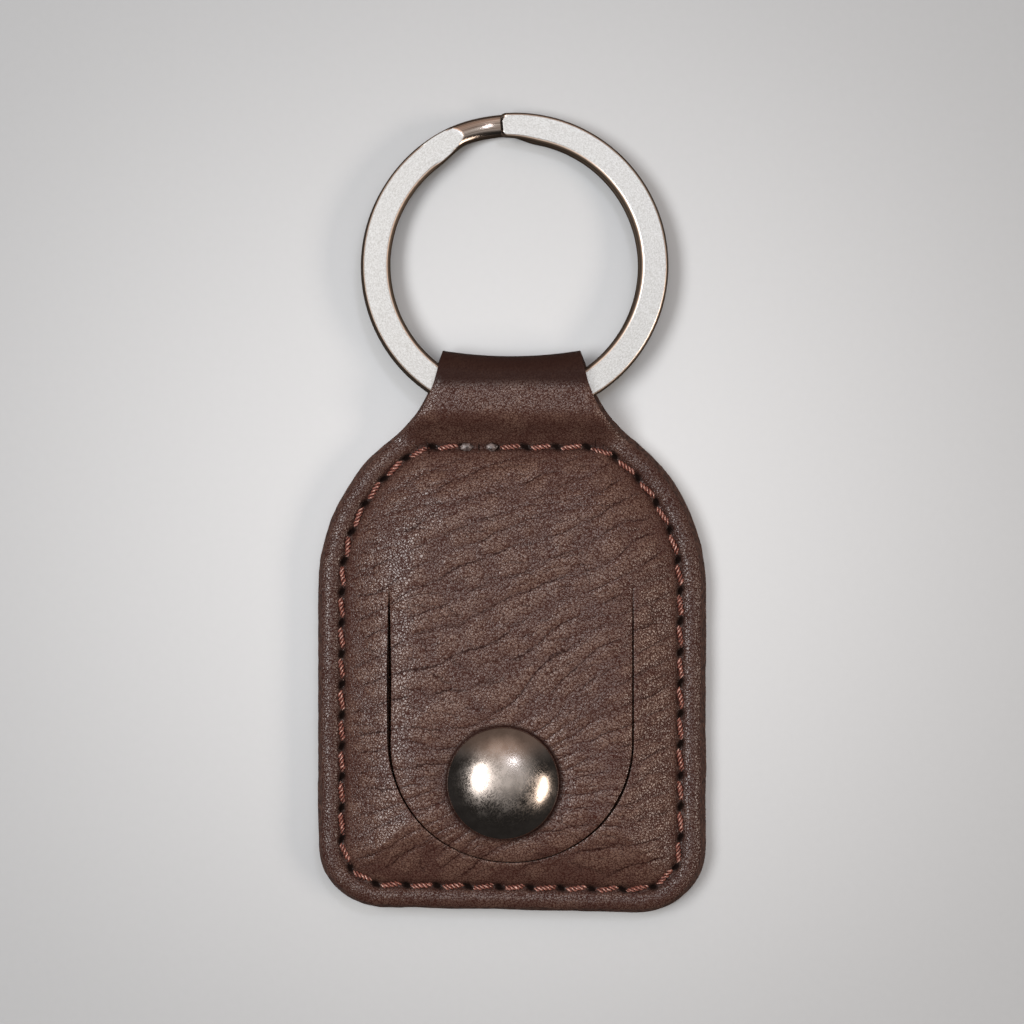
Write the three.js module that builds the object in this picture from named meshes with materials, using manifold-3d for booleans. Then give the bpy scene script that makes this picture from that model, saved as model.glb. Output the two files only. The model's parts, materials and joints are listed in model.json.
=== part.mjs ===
// Coin holder key fob: a folded leather strip sewn round its edge, a snap flap cut into its front,
// and a flat split ring held in the fold. It lies on its back, the ring towards +Y and the front up.
// Millimetres, +Z up, origin under the middle of the whole fob.
import * as THREE from "three";
import { mergeVertices } from "three/addons/utils/BufferGeometryUtils.js";
import Module from "manifold-3d";

const wasm = await Module();
wasm.setup();

// Leather outline, heights measured from the middle of the bottom edge
const BODY_WIDTH = 40.4;
const BOTTOM_SLANT = 0.8; // the hand-cut bottom edge is this much higher at its left corner
const BOTTOM_RADIUS = 6.9;
const SHOULDER_HEIGHT = 43.1; // where the straight side would meet the straight shoulder
const SHOULDER_RISE = 8.64; // from there up to where the shoulder would meet the neck's side
const SHOULDER_RADIUS = 19.5;
const NECK_ROOT_WIDTH = 19.06; // across the neck where the shoulders would meet its sides
const NECK_ROOT_RADIUS = 11.6;
const NECK_TOP_WIDTH = 14.5;
const NECK_LENGTH = 6.46;
const SEAM_CORNER_RADIUS = 0.4;

// Leather sheet and the swell of the front over the pocket
const LEATHER = 1.3;
const FOLD_LEATHER = 0.9; // thinned where it goes round the ring
const FRONT_SETBACK = 0.45; // the back layer shows this far past the front layer
const POCKET_DEPTH = 3.0;
const CROWN_START = 3.1; // how far inside the edge the front leaves the back
const CROWN_WIDTH = 6.0;
const SEAM_GAP = 0.1;

// Stitching
const STITCH_INSET = 2.55;
const TOP_ROW_DROP = 3.3; // from where shoulder and neck would meet down to the top row
const ROW_TO_NECK = 0.8;
const STITCH_PITCH = 3.25;
const THREAD_RADIUS = 0.3;
const THREAD_LIFT = 0.05; // thread to leather
const THREAD_DIP = 0.8;
const HOLE_LENGTH = 1.4;
const HOLE_SIDE_CLEARANCE = 0.12;
const GROOVE_SIDE_CLEARANCE = 0.25;
const GROOVE_DEPTH = 0.75;
const THREAD_GAP_X = -3.3; // middle of the one stitch left open, where both thread ends are sealed

// Snap flap
const FOLD_HEIGHT = 33.75;
const FLAP_WIDTH = 25.28;
const FLAP_ARC_HEIGHT = 17.9;
const SLIT = 0.45;
const FOLD_GAP = 0.3;

// Snap fastener, from the back to the cap
const SNAP_X = -0.83;
const SNAP_Y = 13.65;
const SEAT_GAP = 0.05;
const FIT = 0.15; // radial clearance of posts in their holes
const BACK_FLANGE_RADIUS = 4.3;
const BACK_FLANGE = 0.5;
const BACK_FLANGE_SINK = 0.1;
const STUD_POST_RADIUS = 1.1;
const STUD_FLARE_RADIUS = 1.45;
const STUD_FLARE = 0.2;
const STUD_FLANGE_RADIUS = 3.9;
const STUD_FLANGE = 0.4;
const STUD_NECK_RADIUS = 1.7;
const STUD_NECK_LENGTH = 1.15;
const STUD_BULB_RADIUS = 2.2;
const STUD_BULB_LENGTH = 0.7;
const SOCKET_RADIUS = 4.8;
const SOCKET_FLOOR_CLEARANCE = 0.3; // socket to stud flange
const SOCKET_BORE_CLEARANCE = 0.4; // socket bore to stud bulb
const SOCKET_LIP = 0.35;
const SOCKET_CEILING = 0.4;
const SPRING_CHAMBER = 0.6; // chamber wall outside the socket bore
const SPRING_WIRE_RADIUS = 0.27;
const SPRING_BITE = 0.12; // how far the spring reaches under the bulb
const SPRING_MOUTH = 0.9; // half angle of the gap between the spring's ends, radians
const CAP_POST_RADIUS = 1.3;
const CAP_FLARE_RADIUS = 2.0;
const CAP_FLARE = 0.3;
const CAP_RADIUS = 5.8;
const CAP_HEIGHT = 3.0;
const CAP_SHEET = 0.4;
const CAP_RIM_HEIGHT = 0.9;
const CAP_LIP = 0.55; // rolled edge that holds the post's head
const CAP_HEAD = 0.4;

// Split ring: two flat coils of one wire, joined by a step from the front level to the back level
const RING_RADIUS = 16;
const BAND_WIDTH = 3.0;
const COIL = 0.8;
const COIL_GAP = 0.5;
const BAND_EDGE = 0.3; // softened corner of the wire
const RING_END_ANGLE = 95.9; // where the front coil starts, degrees from +X
const FRONT_TURN = 334; // degrees at the front level
const STEP_TURN = 22; // degrees of the step
const BACK_TURN = 330; // degrees at the back level
const RING_UNDER_CLEARANCE = 0.3;
const RING_OVER_CLEARANCE = 0.6;
const RING_FOLD_CLEARANCE = 0.4;
const LEG_END = 3.3; // the fold's flat top starts this far short of the fold's round end
const LEG_CREST_PULL = 0.5; // shares of the leg that shape its curve down to the stitch row
const LEG_FOOT_PULL = 0.35;
const LEG_FOOT_RISE = 0.45;

// Fineness of the round shapes
const CORNER_STEPS = 7;
const CORNER_ROOM = 0.98; // the most of an edge that the arcs at its two ends may take
const FLAP_STEPS = 28;
const TURNED_STEPS = 32;
const FOLD_STEPS = 10;
const RING_STEP_ANGLE = 7.5;
const BAND_EDGE_STEPS = 1;
const CROWN_STEPS = [0.12, 0.26, 0.42, 0.6, 0.8, 1];
const DOME_STEPS = 7;
const THREAD_SIDES = 5;
const SPRING_SIDES = 6;
const SPRING_STEPS = 26;
const MERGE_DISTANCE = 1e-4; // points nearer than this count as one

// Heights worked out from the layers
const borderTop = 2 * LEATHER;
const flapUnder = LEATHER + POCKET_DEPTH;
const flapTop = flapUnder + LEATHER;
const neckRootHeight = SHOULDER_HEIGHT + SHOULDER_RISE;
const neckTopHeight = neckRootHeight + NECK_LENGTH;
const topRowHeight = neckRootHeight - TOP_ROW_DROP;
const seamHeight = topRowHeight + ROW_TO_NECK;
const ringThickness = 2 * COIL + COIL_GAP;
const loopHeight = 2 * FOLD_LEATHER + RING_UNDER_CLEARANCE + ringThickness + RING_OVER_CLEARANCE;

// Material of each finish
const finish = (color, roughness, metalness) =>
  new THREE.MeshStandardMaterial({ color, roughness, metalness });
const leather = finish(0x5e4943, 0.55, 0);
const thread = finish(0x986450, 0.8, 0);
const nickel = finish(0x8c847d, 0.2, 1);
const innerNickel = finish(0xa8a49c, 0.35, 1);
const steel = finish(0xdcdad7, 0.35, 1);

const root = new THREE.Group();
const fob = new THREE.Group();
root.add(fob);

function addPiece(name, geometry, material) {
  const mesh = new THREE.Mesh(geometry, material);
  mesh.name = name;
  fob.add(mesh);
  return mesh;
}

function solidOf(geometry) {
  const bare = geometry.clone();
  bare.deleteAttribute("normal");
  bare.deleteAttribute("uv");
  const merged = mergeVertices(bare, MERGE_DISTANCE);
  const vertProperties = new Float32Array(merged.attributes.position.array);
  const triVerts = new Uint32Array(merged.index.array);
  return new wasm.Manifold(new wasm.Mesh({ numProp: 3, vertProperties, triVerts }));
}

function geometryOf(solid) {
  const mesh = solid.getMesh();
  const geometry = new THREE.BufferGeometry();
  geometry.setAttribute("position", new THREE.BufferAttribute(mesh.vertProperties, 3));
  geometry.setIndex(new THREE.BufferAttribute(mesh.triVerts, 1));
  geometry.computeVertexNormals();
  return geometry;
}

function geometryFrom(points, triangles) {
  const geometry = new THREE.BufferGeometry().setFromPoints(points);
  geometry.setIndex(triangles);
  geometry.computeVertexNormals();
  return geometry;
}

// A shape raised from one height to another
function prism(shape, bottom, top) {
  const settings = { depth: top - bottom, bevelEnabled: false, curveSegments: FLAP_STEPS };
  return new THREE.ExtrudeGeometry(shape, settings).translate(0, 0, bottom);
}

// A profile of [radius, height] turned about the snap's axis
function turned(profile) {
  const points = profile.map(([radius, height]) => new THREE.Vector2(radius, height));
  const geometry = new THREE.LatheGeometry(points, TURNED_STEPS);
  return geometry.rotateX(Math.PI / 2).translate(SNAP_X, SNAP_Y, 0);
}

function disc(radius, bottom, top) {
  return turned([[0, bottom], [radius, bottom], [radius, top], [0, top]]);
}

// Corners of {at, radius} turned into points. Where two arcs want more than the edge between them has,
// both get the same share of what they want
function roundedPoints(corners, steps = CORNER_STEPS) {
  const count = corners.length;
  const cut = corners.map(({ at, radius }, i) => {
    const back = corners[(i + count - 1) % count].at.clone().sub(at);
    const ahead = corners[(i + 1) % count].at.clone().sub(at);
    const halfAngle = back.angleTo(ahead) / 2;
    return { at, back, ahead, halfAngle, wanted: radius / Math.tan(halfAngle) };
  });
  const points = [];
  cut.forEach(({ at, back, ahead, halfAngle, wanted }, i) => {
    const shareBack = (CORNER_ROOM * back.length()) / (wanted + cut[(i + count - 1) % count].wanted);
    const shareAhead = (CORNER_ROOM * ahead.length()) / (wanted + cut[(i + 1) % count].wanted);
    const reach = wanted * Math.min(1, shareBack, shareAhead);
    const toBack = back.clone().normalize();
    const toAhead = ahead.clone().normalize();
    const bisector = toBack.clone().add(toAhead).normalize();
    const middle = bisector.multiplyScalar(reach / Math.cos(halfAngle)).add(at);
    const from = at.clone().addScaledVector(toBack, reach).sub(middle);
    const to = at.clone().addScaledVector(toAhead, reach).sub(middle);
    const sweep = Math.atan2(from.cross(to), from.dot(to));
    for (let k = 0; k <= steps; k += 1) {
      const arm = from.clone().rotateAround(new THREE.Vector2(), (sweep * k) / steps);
      points.push(arm.add(middle));
    }
  });
  return points;
}

const corner = (x, y, radius) => ({ at: new THREE.Vector2(x, y), radius });

// Body corners from the bottom left round to the left shoulder, and the neck's corners above the seam
const half = BODY_WIDTH / 2;
const rootHalf = NECK_ROOT_WIDTH / 2;
const seamShare = (seamHeight - SHOULDER_HEIGHT) / SHOULDER_RISE;
const seamHalf = THREE.MathUtils.lerp(half, rootHalf, seamShare);
const bodyCorners = [
  corner(-half, BOTTOM_SLANT / 2, BOTTOM_RADIUS),
  corner(half, -BOTTOM_SLANT / 2, BOTTOM_RADIUS),
  corner(half, SHOULDER_HEIGHT, SHOULDER_RADIUS),
  corner(seamHalf, seamHeight, SEAM_CORNER_RADIUS),
  corner(-seamHalf, seamHeight, SEAM_CORNER_RADIUS),
  corner(-half, SHOULDER_HEIGHT, SHOULDER_RADIUS),
];
const topEdge = 3;

// The top edge stays at the neck until the inset reaches it, so that the stitch row lies at its own height
function topInset(inset) {
  return Math.max(seamHeight - (topRowHeight + STITCH_INSET - inset), 0);
}

// Where two lines meet, each given by a point and a direction
function meeting(a, along, b, other) {
  const t = b.clone().sub(a).cross(other) / along.cross(other);
  return a.clone().addScaledVector(along, t);
}

// The body's outline closed in by an inset, with the same count of points at each inset
function bodyLoop(inset) {
  const edges = bodyCorners.map(({ at }, i) => {
    const along = bodyCorners[(i + 1) % bodyCorners.length].at.clone().sub(at).normalize();
    const inward = new THREE.Vector2(-along.y, along.x);
    const amount = i === topEdge ? topInset(inset) : inset;
    return { start: at.clone().addScaledVector(inward, amount), along };
  });
  const moved = bodyCorners.map(({ radius }, i) => {
    const before = edges[(i + edges.length - 1) % edges.length];
    const at = meeting(before.start, before.along, edges[i].start, edges[i].along);
    return { at, radius: Math.max(radius - inset, SEAM_CORNER_RADIUS) };
  });
  return roundedPoints(moved);
}

// Rows of rings, outermost first, closed by a flat middle: one face of a sheet
function sheetFace(rings, first, up, triangles) {
  const count = rings[0].length;
  const add = (a, b, c) => triangles.push(...(up ? [a, b, c] : [a, c, b]));
  for (let row = 0; row + 1 < rings.length; row += 1) {
    for (let i = 0; i < count; i += 1) {
      const next = (i + 1) % count;
      const outer = first + row * count;
      const inner = outer + count;
      add(outer + i, outer + next, inner + next);
      add(outer + i, inner + next, inner + i);
    }
  }
  const middle = first + (rings.length - 1) * count;
  for (const [a, b, c] of THREE.ShapeUtils.triangulateShape(rings.at(-1), [])) {
    add(middle + a, middle + b, middle + c);
  }
}

// The front leather: flat along its edge, then swelling over the pocket as a quarter of a sine wave
function crownedSheet() {
  const share = CROWN_STEPS.map((step) => CROWN_START + step * CROWN_WIDTH);
  const insets = [FRONT_SETBACK, CROWN_START, ...share];
  const rings = insets.map(bodyLoop);
  const rise = insets.map((inset) => {
    const along = THREE.MathUtils.clamp((inset - CROWN_START) / CROWN_WIDTH, 0, 1);
    return POCKET_DEPTH * Math.sin((along * Math.PI) / 2);
  });
  const ringAt = (ring, z) => ring.map((p) => new THREE.Vector3(p.x, p.y, z));
  const lifted = (z) => rings.flatMap((ring, k) => ringAt(ring, z + rise[k]));
  const points = [...lifted(borderTop), ...lifted(LEATHER)];
  const triangles = [];
  const under = points.length / 2;
  const count = rings[0].length;
  sheetFace(rings, 0, true, triangles);
  sheetFace(rings, under, false, triangles);
  for (let i = 0; i < count; i += 1) {
    const next = (i + 1) % count;
    triangles.push(under + i, under + next, next, under + i, next, i);
  }
  return solidOf(geometryFrom(points, triangles));
}

// The flap's shape: straight sides and a half round end, grown by a margin
function flapShape(margin, foldHeight) {
  const reach = FLAP_WIDTH / 2 + margin;
  const shape = new THREE.Shape();
  shape.moveTo(-reach, foldHeight);
  shape.lineTo(-reach, FLAP_ARC_HEIGHT);
  shape.absarc(0, FLAP_ARC_HEIGHT, reach, Math.PI, 2 * Math.PI, false);
  shape.lineTo(reach, foldHeight);
  shape.closePath();
  return shape;
}

// A tube of one section along points: each section stands across the path, its sideways axis given
function swept(path, sideways, section) {
  const points = [];
  const triangles = [];
  const count = section.length;
  path.forEach((at, k) => {
    const along = path[Math.min(k + 1, path.length - 1)].clone().sub(path[Math.max(k - 1, 0)]);
    const up = along.normalize().clone().cross(sideways[k]).normalize();
    for (const p of section) {
      points.push(at.clone().addScaledVector(sideways[k], p.x).addScaledVector(up, p.y));
    }
  });
  for (let k = 0; k + 1 < path.length; k += 1) {
    for (let i = 0; i < count; i += 1) {
      const a = k * count + i;
      const b = k * count + ((i + 1) % count);
      triangles.push(a, b, b + count, a, b + count, a + count);
    }
  }
  const end = (path.length - 1) * count;
  for (let i = 1; i + 1 < count; i += 1) {
    triangles.push(0, i + 1, i, end, end + i, end + i + 1);
  }
  return geometryFrom(points, triangles);
}

function roundSection(radius, sides) {
  return Array.from({ length: sides }, (_, i) => {
    const angle = (2 * Math.PI * i) / sides;
    return new THREE.Vector2(Math.cos(angle), Math.sin(angle)).multiplyScalar(radius);
  });
}

// Stitch line: the holes are spread evenly along it, starting beside the open stitch
const stitchLine = new THREE.CurvePath();
const stitchLoop = bodyLoop(STITCH_INSET);
const topRight = stitchLoop.findIndex((p) => p.y > topRowHeight - MERGE_DISTANCE);
const fromTop = [...stitchLoop.slice(topRight), ...stitchLoop.slice(0, topRight)];
const lineStart = new THREE.Vector2(THREAD_GAP_X, topRowHeight);
const beforeGap = fromTop.filter((p) => p.y > topRowHeight - MERGE_DISTANCE && p.x > THREAD_GAP_X);
const afterGap = fromTop.filter((p) => !beforeGap.includes(p));
const linePoints = [lineStart, ...afterGap, ...beforeGap, lineStart];
linePoints.slice(1).forEach((p, i) => stitchLine.add(new THREE.LineCurve(linePoints[i], p)));
const lineLength = stitchLine.getLength();
const stitches = Math.round(lineLength / STITCH_PITCH);
const pitch = lineLength / stitches;
const holeAt = (k) => (k + 0.5) * pitch;
const lineAt = (distance) => stitchLine.getPoint(distance / lineLength);
function lineTangent(distance) {
  const reach = THREAD_RADIUS;
  return lineAt(distance + reach).sub(lineAt(distance - reach)).normalize();
}

function needleHoles() {
  const across = 2 * (THREAD_RADIUS + HOLE_SIDE_CLEARANCE);
  const holes = [];
  for (let k = 0; k < stitches; k += 1) {
    const at = lineAt(holeAt(k));
    const along = lineTangent(holeAt(k));
    const hole = new THREE.BoxGeometry(HOLE_LENGTH, across, 2 * flapTop);
    hole.rotateZ(Math.atan2(along.y, along.x)).translate(at.x, at.y, 0);
    holes.push(solidOf(hole));
  }
  return holes.reduce((all, hole) => all.add(hole));
}

// One thread: it runs along a face and dips into every hole, towards the other face
function threadTube(faceHeight, dip) {
  const run = HOLE_LENGTH / 2 - THREAD_RADIUS / 4;
  const stops = [];
  for (let k = 0; k < stitches; k += 1) {
    if (k > 0) stops.push([holeAt(k) - run, faceHeight]);
    stops.push([holeAt(k), faceHeight + dip]);
    if (k + 1 < stitches) stops.push([holeAt(k) + run, faceHeight], [holeAt(k + 0.5), faceHeight]);
  }
  const path = stops.map(([distance, z]) => {
    const at = lineAt(distance);
    return new THREE.Vector3(at.x, at.y, z);
  });
  const sideways = stops.map(([distance]) => {
    const along = lineTangent(distance);
    return new THREE.Vector3(-along.y, along.x, 0);
  });
  return swept(path, sideways, roundSection(THREAD_RADIUS, THREAD_SIDES));
}

// Front layer, with the flap cut out of it along a thin slit
const frontSheet = crownedSheet();
const holes = needleHoles();
const flapWindow = solidOf(prism(flapShape(SLIT / 2, FOLD_HEIGHT + FOLD_GAP), 0, 2 * flapTop));
addPiece("front_panel", geometryOf(frontSheet.subtract(flapWindow).subtract(holes)), leather);

const flapBlock = solidOf(prism(flapShape(-SLIT / 2, FOLD_HEIGHT), 0, 2 * flapTop));
const capPostHole = solidOf(disc(CAP_POST_RADIUS + FIT, 0, 2 * flapTop));
addPiece("coin_flap", geometryOf(frontSheet.intersect(flapBlock).subtract(capPostHole)), leather);

// Back layer: flat, with a thread groove, the needle holes, and a seat for the stud's post
function backPanel() {
  const plate = solidOf(prism(new THREE.Shape(bodyLoop(0)), 0, LEATHER));
  const grooveHalf = THREAD_RADIUS + GROOVE_SIDE_CLEARANCE;
  const groove = new THREE.Shape(bodyLoop(STITCH_INSET - grooveHalf));
  groove.holes.push(new THREE.Path(bodyLoop(STITCH_INSET + grooveHalf)));
  const flangeSeat = disc(BACK_FLANGE_RADIUS + FIT, -LEATHER, BACK_FLANGE_SINK + BACK_FLANGE);
  const postHole = disc(STUD_POST_RADIUS + FIT, -LEATHER, 2 * LEATHER);
  return plate
    .subtract(solidOf(prism(groove, -LEATHER, GROOVE_DEPTH)))
    .subtract(holes)
    .subtract(solidOf(flangeSeat))
    .subtract(solidOf(postHole));
}
addPiece("back_panel", geometryOf(backPanel()), leather);

const needleHeight = borderTop + THREAD_LIFT + THREAD_RADIUS;
const bobbinHeight = GROOVE_DEPTH - THREAD_LIFT - THREAD_RADIUS;
addPiece("needle_thread", threadTube(needleHeight, -THREAD_DIP), thread);
addPiece("bobbin_thread", threadTube(bobbinHeight, THREAD_DIP), thread);

// Neck: the leather lies flat under the ring, turns round it and comes down to the stitch row
const neckBottom = seamHeight + SEAM_GAP;
const foldRadius = loopHeight / 2;
const foldMiddle = neckTopHeight - foldRadius;
const neckTaper = (rootHalf - NECK_TOP_WIDTH / 2) / NECK_LENGTH;
const neckHalfAt = (height) => NECK_TOP_WIDTH / 2 + neckTaper * (neckTopHeight - height);

// One side of the neck's leather in the Y-Z plane, closed in by an inset from its outer face
function neckSide(inset, foot) {
  const path = new THREE.Path();
  const crest = loopHeight - inset;
  const legTop = foldMiddle - LEG_END;
  const leg = legTop - neckBottom;
  path.moveTo(neckBottom, inset);
  path.lineTo(foldMiddle, inset);
  path.absarc(foldMiddle, foldRadius, foldRadius - inset, -Math.PI / 2, Math.PI / 2, false);
  path.lineTo(legTop, crest);
  const crestPull = legTop - LEG_CREST_PULL * leg;
  const footPull = neckBottom + LEG_FOOT_PULL * leg;
  const footRise = foot + LEG_FOOT_RISE * (crest - foot);
  path.bezierCurveTo(crestPull, crest, footPull, footRise, neckBottom, foot);
  return path.getPoints(FOLD_STEPS);
}

function neckLoop() {
  const outer = neckSide(0, borderTop);
  const inner = neckSide(FOLD_LEATHER, borderTop - FOLD_LEATHER);
  const shape = new THREE.Shape([...outer, ...inner.reverse()]);
  const wide = 2 * seamHalf;
  const settings = { depth: wide, bevelEnabled: false };
  const band = new THREE.ExtrudeGeometry(shape, settings).translate(0, 0, -seamHalf);
  const axes = [new THREE.Vector3(0, 1, 0), new THREE.Vector3(0, 0, 1), new THREE.Vector3(1, 0, 0)];
  band.applyMatrix4(new THREE.Matrix4().makeBasis(...axes));
  const over = neckTopHeight + foldRadius;
  const neckOutline = roundedPoints([
    corner(-seamHalf, seamHeight, 0),
    corner(seamHalf, seamHeight, 0),
    corner(rootHalf, neckRootHeight, NECK_ROOT_RADIUS),
    corner(neckHalfAt(over), over, 0),
    corner(-neckHalfAt(over), over, 0),
    corner(-rootHalf, neckRootHeight, NECK_ROOT_RADIUS),
  ]);
  const outline = solidOf(prism(new THREE.Shape(neckOutline), -loopHeight, 2 * loopHeight));
  return solidOf(band).intersect(outline);
}
addPiece("neck_loop", geometryOf(neckLoop()), leather);

// Snap, back half: a post through the back leather, flared inside the stud
const flangeTop = BACK_FLANGE_SINK + BACK_FLANGE;
const studFloor = LEATHER + STUD_FLANGE;
const bulbBase = LEATHER + STUD_NECK_LENGTH + STUD_FLANGE;
const studTop = bulbBase + STUD_BULB_LENGTH;
const flareSeat = studTop - STUD_FLARE - SEAT_GAP;
const studBore = STUD_POST_RADIUS + FIT;
const bulbWaist = bulbBase + STUD_BULB_LENGTH / 2;
const bulbCrown = (STUD_NECK_RADIUS + STUD_BULB_RADIUS) / 2;
addPiece("stud_post", turned([
  [0, BACK_FLANGE_SINK],
  [BACK_FLANGE_RADIUS, BACK_FLANGE_SINK],
  [BACK_FLANGE_RADIUS, flangeTop],
  [STUD_POST_RADIUS, flangeTop],
  [STUD_POST_RADIUS, flareSeat],
  [STUD_FLARE_RADIUS, flareSeat],
  [STUD_FLARE_RADIUS, flareSeat + STUD_FLARE],
  [0, flareSeat + STUD_FLARE],
]), nickel);
addPiece("snap_stud", turned([
  [studBore, LEATHER],
  [STUD_FLANGE_RADIUS, LEATHER],
  [STUD_FLANGE_RADIUS, studFloor],
  [STUD_NECK_RADIUS, studFloor],
  [STUD_NECK_RADIUS, bulbBase],
  [STUD_BULB_RADIUS, bulbWaist],
  [bulbCrown, studTop],
  [STUD_FLARE_RADIUS + FIT, studTop],
  [STUD_FLARE_RADIUS + FIT, flareSeat],
  [studBore, flareSeat],
  [studBore, LEATHER],
]), innerNickel);

// Snap, front half: a capped post through the flap, flared inside a socket that holds a spring
const socketTop = flapUnder - SEAT_GAP;
const socketFloor = studFloor + SOCKET_FLOOR_CLEARANCE;
const socketBore = STUD_BULB_RADIUS + SOCKET_BORE_CLEARANCE;
const chamber = socketBore + SPRING_CHAMBER;
const ceiling = socketTop - SOCKET_CEILING;
const capPostHoleRadius = CAP_POST_RADIUS + FIT;
addPiece("snap_socket", turned([
  [socketBore, socketFloor],
  [SOCKET_RADIUS, socketFloor],
  [SOCKET_RADIUS, socketTop],
  [capPostHoleRadius, socketTop],
  [capPostHoleRadius, ceiling],
  [chamber, ceiling],
  [chamber, socketFloor + SOCKET_LIP],
  [socketBore, socketFloor + SOCKET_LIP],
  [socketBore, socketFloor],
]), innerNickel);

// Open spring ring that rests on the socket's lip and closes under the stud's bulb
function springRing() {
  const middle = STUD_BULB_RADIUS - SPRING_BITE + SPRING_WIRE_RADIUS;
  const height = socketFloor + SOCKET_LIP + SEAT_GAP + SPRING_WIRE_RADIUS;
  const path = [];
  const sideways = [];
  for (let k = 0; k <= SPRING_STEPS; k += 1) {
    const angle = SPRING_MOUTH + ((2 * Math.PI - 2 * SPRING_MOUTH) * k) / SPRING_STEPS;
    const out = new THREE.Vector3(Math.cos(angle), Math.sin(angle), 0);
    path.push(out.clone().multiplyScalar(middle).add(new THREE.Vector3(SNAP_X, SNAP_Y, height)));
    sideways.push(out.negate());
  }
  return swept(path, sideways, roundSection(SPRING_WIRE_RADIUS, SPRING_SIDES));
}
addPiece("socket_spring", springRing(), steel);

const capFloor = flapTop + SEAT_GAP;
const headFloor = capFloor + CAP_SHEET + SEAT_GAP;
const capInner = CAP_RADIUS - CAP_SHEET;
addPiece("cap_post", turned([
  [0, ceiling - CAP_FLARE],
  [CAP_FLARE_RADIUS, ceiling - CAP_FLARE],
  [CAP_FLARE_RADIUS, ceiling],
  [CAP_POST_RADIUS, ceiling],
  [CAP_POST_RADIUS, headFloor],
  [capInner - FIT, headFloor],
  [capInner - FIT, headFloor + CAP_HEAD],
  [0, headFloor + CAP_HEAD],
]), innerNickel);

// Domed cap: a rolled lip under the post's head, an upright rim, then an elliptic dome
function capProfile() {
  const rimTop = capFloor + CAP_RIM_HEIGHT;
  const domeRise = CAP_HEIGHT - CAP_RIM_HEIGHT;
  const dome = (radius, rise) => Array.from({ length: DOME_STEPS + 1 }, (_, k) => {
    const angle = (k * Math.PI) / 2 / DOME_STEPS;
    return [radius * Math.cos(angle), rimTop + rise * Math.sin(angle)];
  });
  const lipInner = capInner - CAP_LIP;
  return [
    ...dome(capInner, domeRise - CAP_SHEET).reverse(),
    [capInner, capFloor + CAP_SHEET],
    [lipInner, capFloor + CAP_SHEET],
    [lipInner, capFloor],
    [CAP_RADIUS - CAP_SHEET / 2, capFloor],
    [CAP_RADIUS, capFloor + CAP_SHEET / 2],
    ...dome(CAP_RADIUS, domeRise),
  ];
}
addPiece("snap_cap", turned(capProfile()), nickel);

// Split ring, made about the axis that it swings on and then let down until its far side lies level
// with the back of the fob
const innerRadius = RING_RADIUS - BAND_WIDTH;
const ringTouch = neckTopHeight - FOLD_LEATHER - RING_FOLD_CLEARANCE;
const innerSag = Math.sqrt(innerRadius ** 2 - neckHalfAt(ringTouch) ** 2);
const ringMiddle = ringTouch + innerSag;
const swingHeight = ringMiddle - (RING_RADIUS + innerSag) / 2;
const swingLevel = FOLD_LEATHER + RING_UNDER_CLEARANCE + ringThickness / 2;

function ringPath() {
  const total = FRONT_TURN + STEP_TURN + BACK_TURN;
  const steps = Math.round(total / RING_STEP_ANGLE);
  const level = (COIL + COIL_GAP) / 2;
  const middle = RING_RADIUS - BAND_WIDTH / 2;
  return Array.from({ length: steps + 1 }, (_, k) => {
    const turn = (total * k) / steps;
    const down = THREE.MathUtils.smoothstep(turn, FRONT_TURN, FRONT_TURN + STEP_TURN);
    const angle = THREE.MathUtils.degToRad(RING_END_ANGLE - turn);
    const out = new THREE.Vector3(Math.cos(angle), Math.sin(angle), 0);
    const at = out.clone().multiplyScalar(middle);
    at.y += ringMiddle - swingHeight;
    at.z = THREE.MathUtils.lerp(level, -level, down);
    return { at, out };
  });
}

// The least air between two stretches of the wire that lie over each other, most of a turn apart
function leastCoilGap(path) {
  const turn = Math.round(BACK_TURN / RING_STEP_ANGLE);
  const spacing = path[0].at.distanceTo(path[1].at);
  let least = Infinity;
  path.forEach(({ at }, k) => {
    for (const later of path.slice(k + turn)) {
      const apart = Math.hypot(later.at.x - at.x, later.at.y - at.y);
      const along = Math.max(apart - spacing / 2, 0);
      const over = Math.max(Math.abs(later.at.z - at.z) - COIL, 0);
      least = Math.min(least, Math.hypot(along, over));
    }
  });
  return least;
}

function splitRing() {
  const path = ringPath();
  console.log(`split ring: least gap between its coils ${leastCoilGap(path).toFixed(2)} mm`);
  const wide = BAND_WIDTH / 2;
  const thick = COIL / 2;
  const corners = [
    corner(-wide, -thick, BAND_EDGE),
    corner(wide, -thick, BAND_EDGE),
    corner(wide, thick, BAND_EDGE),
    corner(-wide, thick, BAND_EDGE),
  ];
  const section = roundedPoints(corners, BAND_EDGE_STEPS);
  return swept(path.map(({ at }) => at), path.map(({ out }) => out.clone().negate()), section);
}
const ring = addPiece("split_ring", splitRing(), steel);
const farReach = ringMiddle + RING_RADIUS - swingHeight;
const letDown = Math.asin(swingLevel / Math.hypot(farReach, ringThickness / 2));
ring.position.set(0, swingHeight, swingLevel);
ring.rotation.x = Math.atan2(ringThickness / 2, farReach) - letDown;

const box = new THREE.Box3().setFromObject(fob);
fob.position.y = -(box.min.y + box.max.y) / 2;

export default root;
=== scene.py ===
import json
import math
import random
from functools import partial

import bmesh
import bpy
import numpy as np
from mathutils import Matrix, Vector, kdtree, noise


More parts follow.
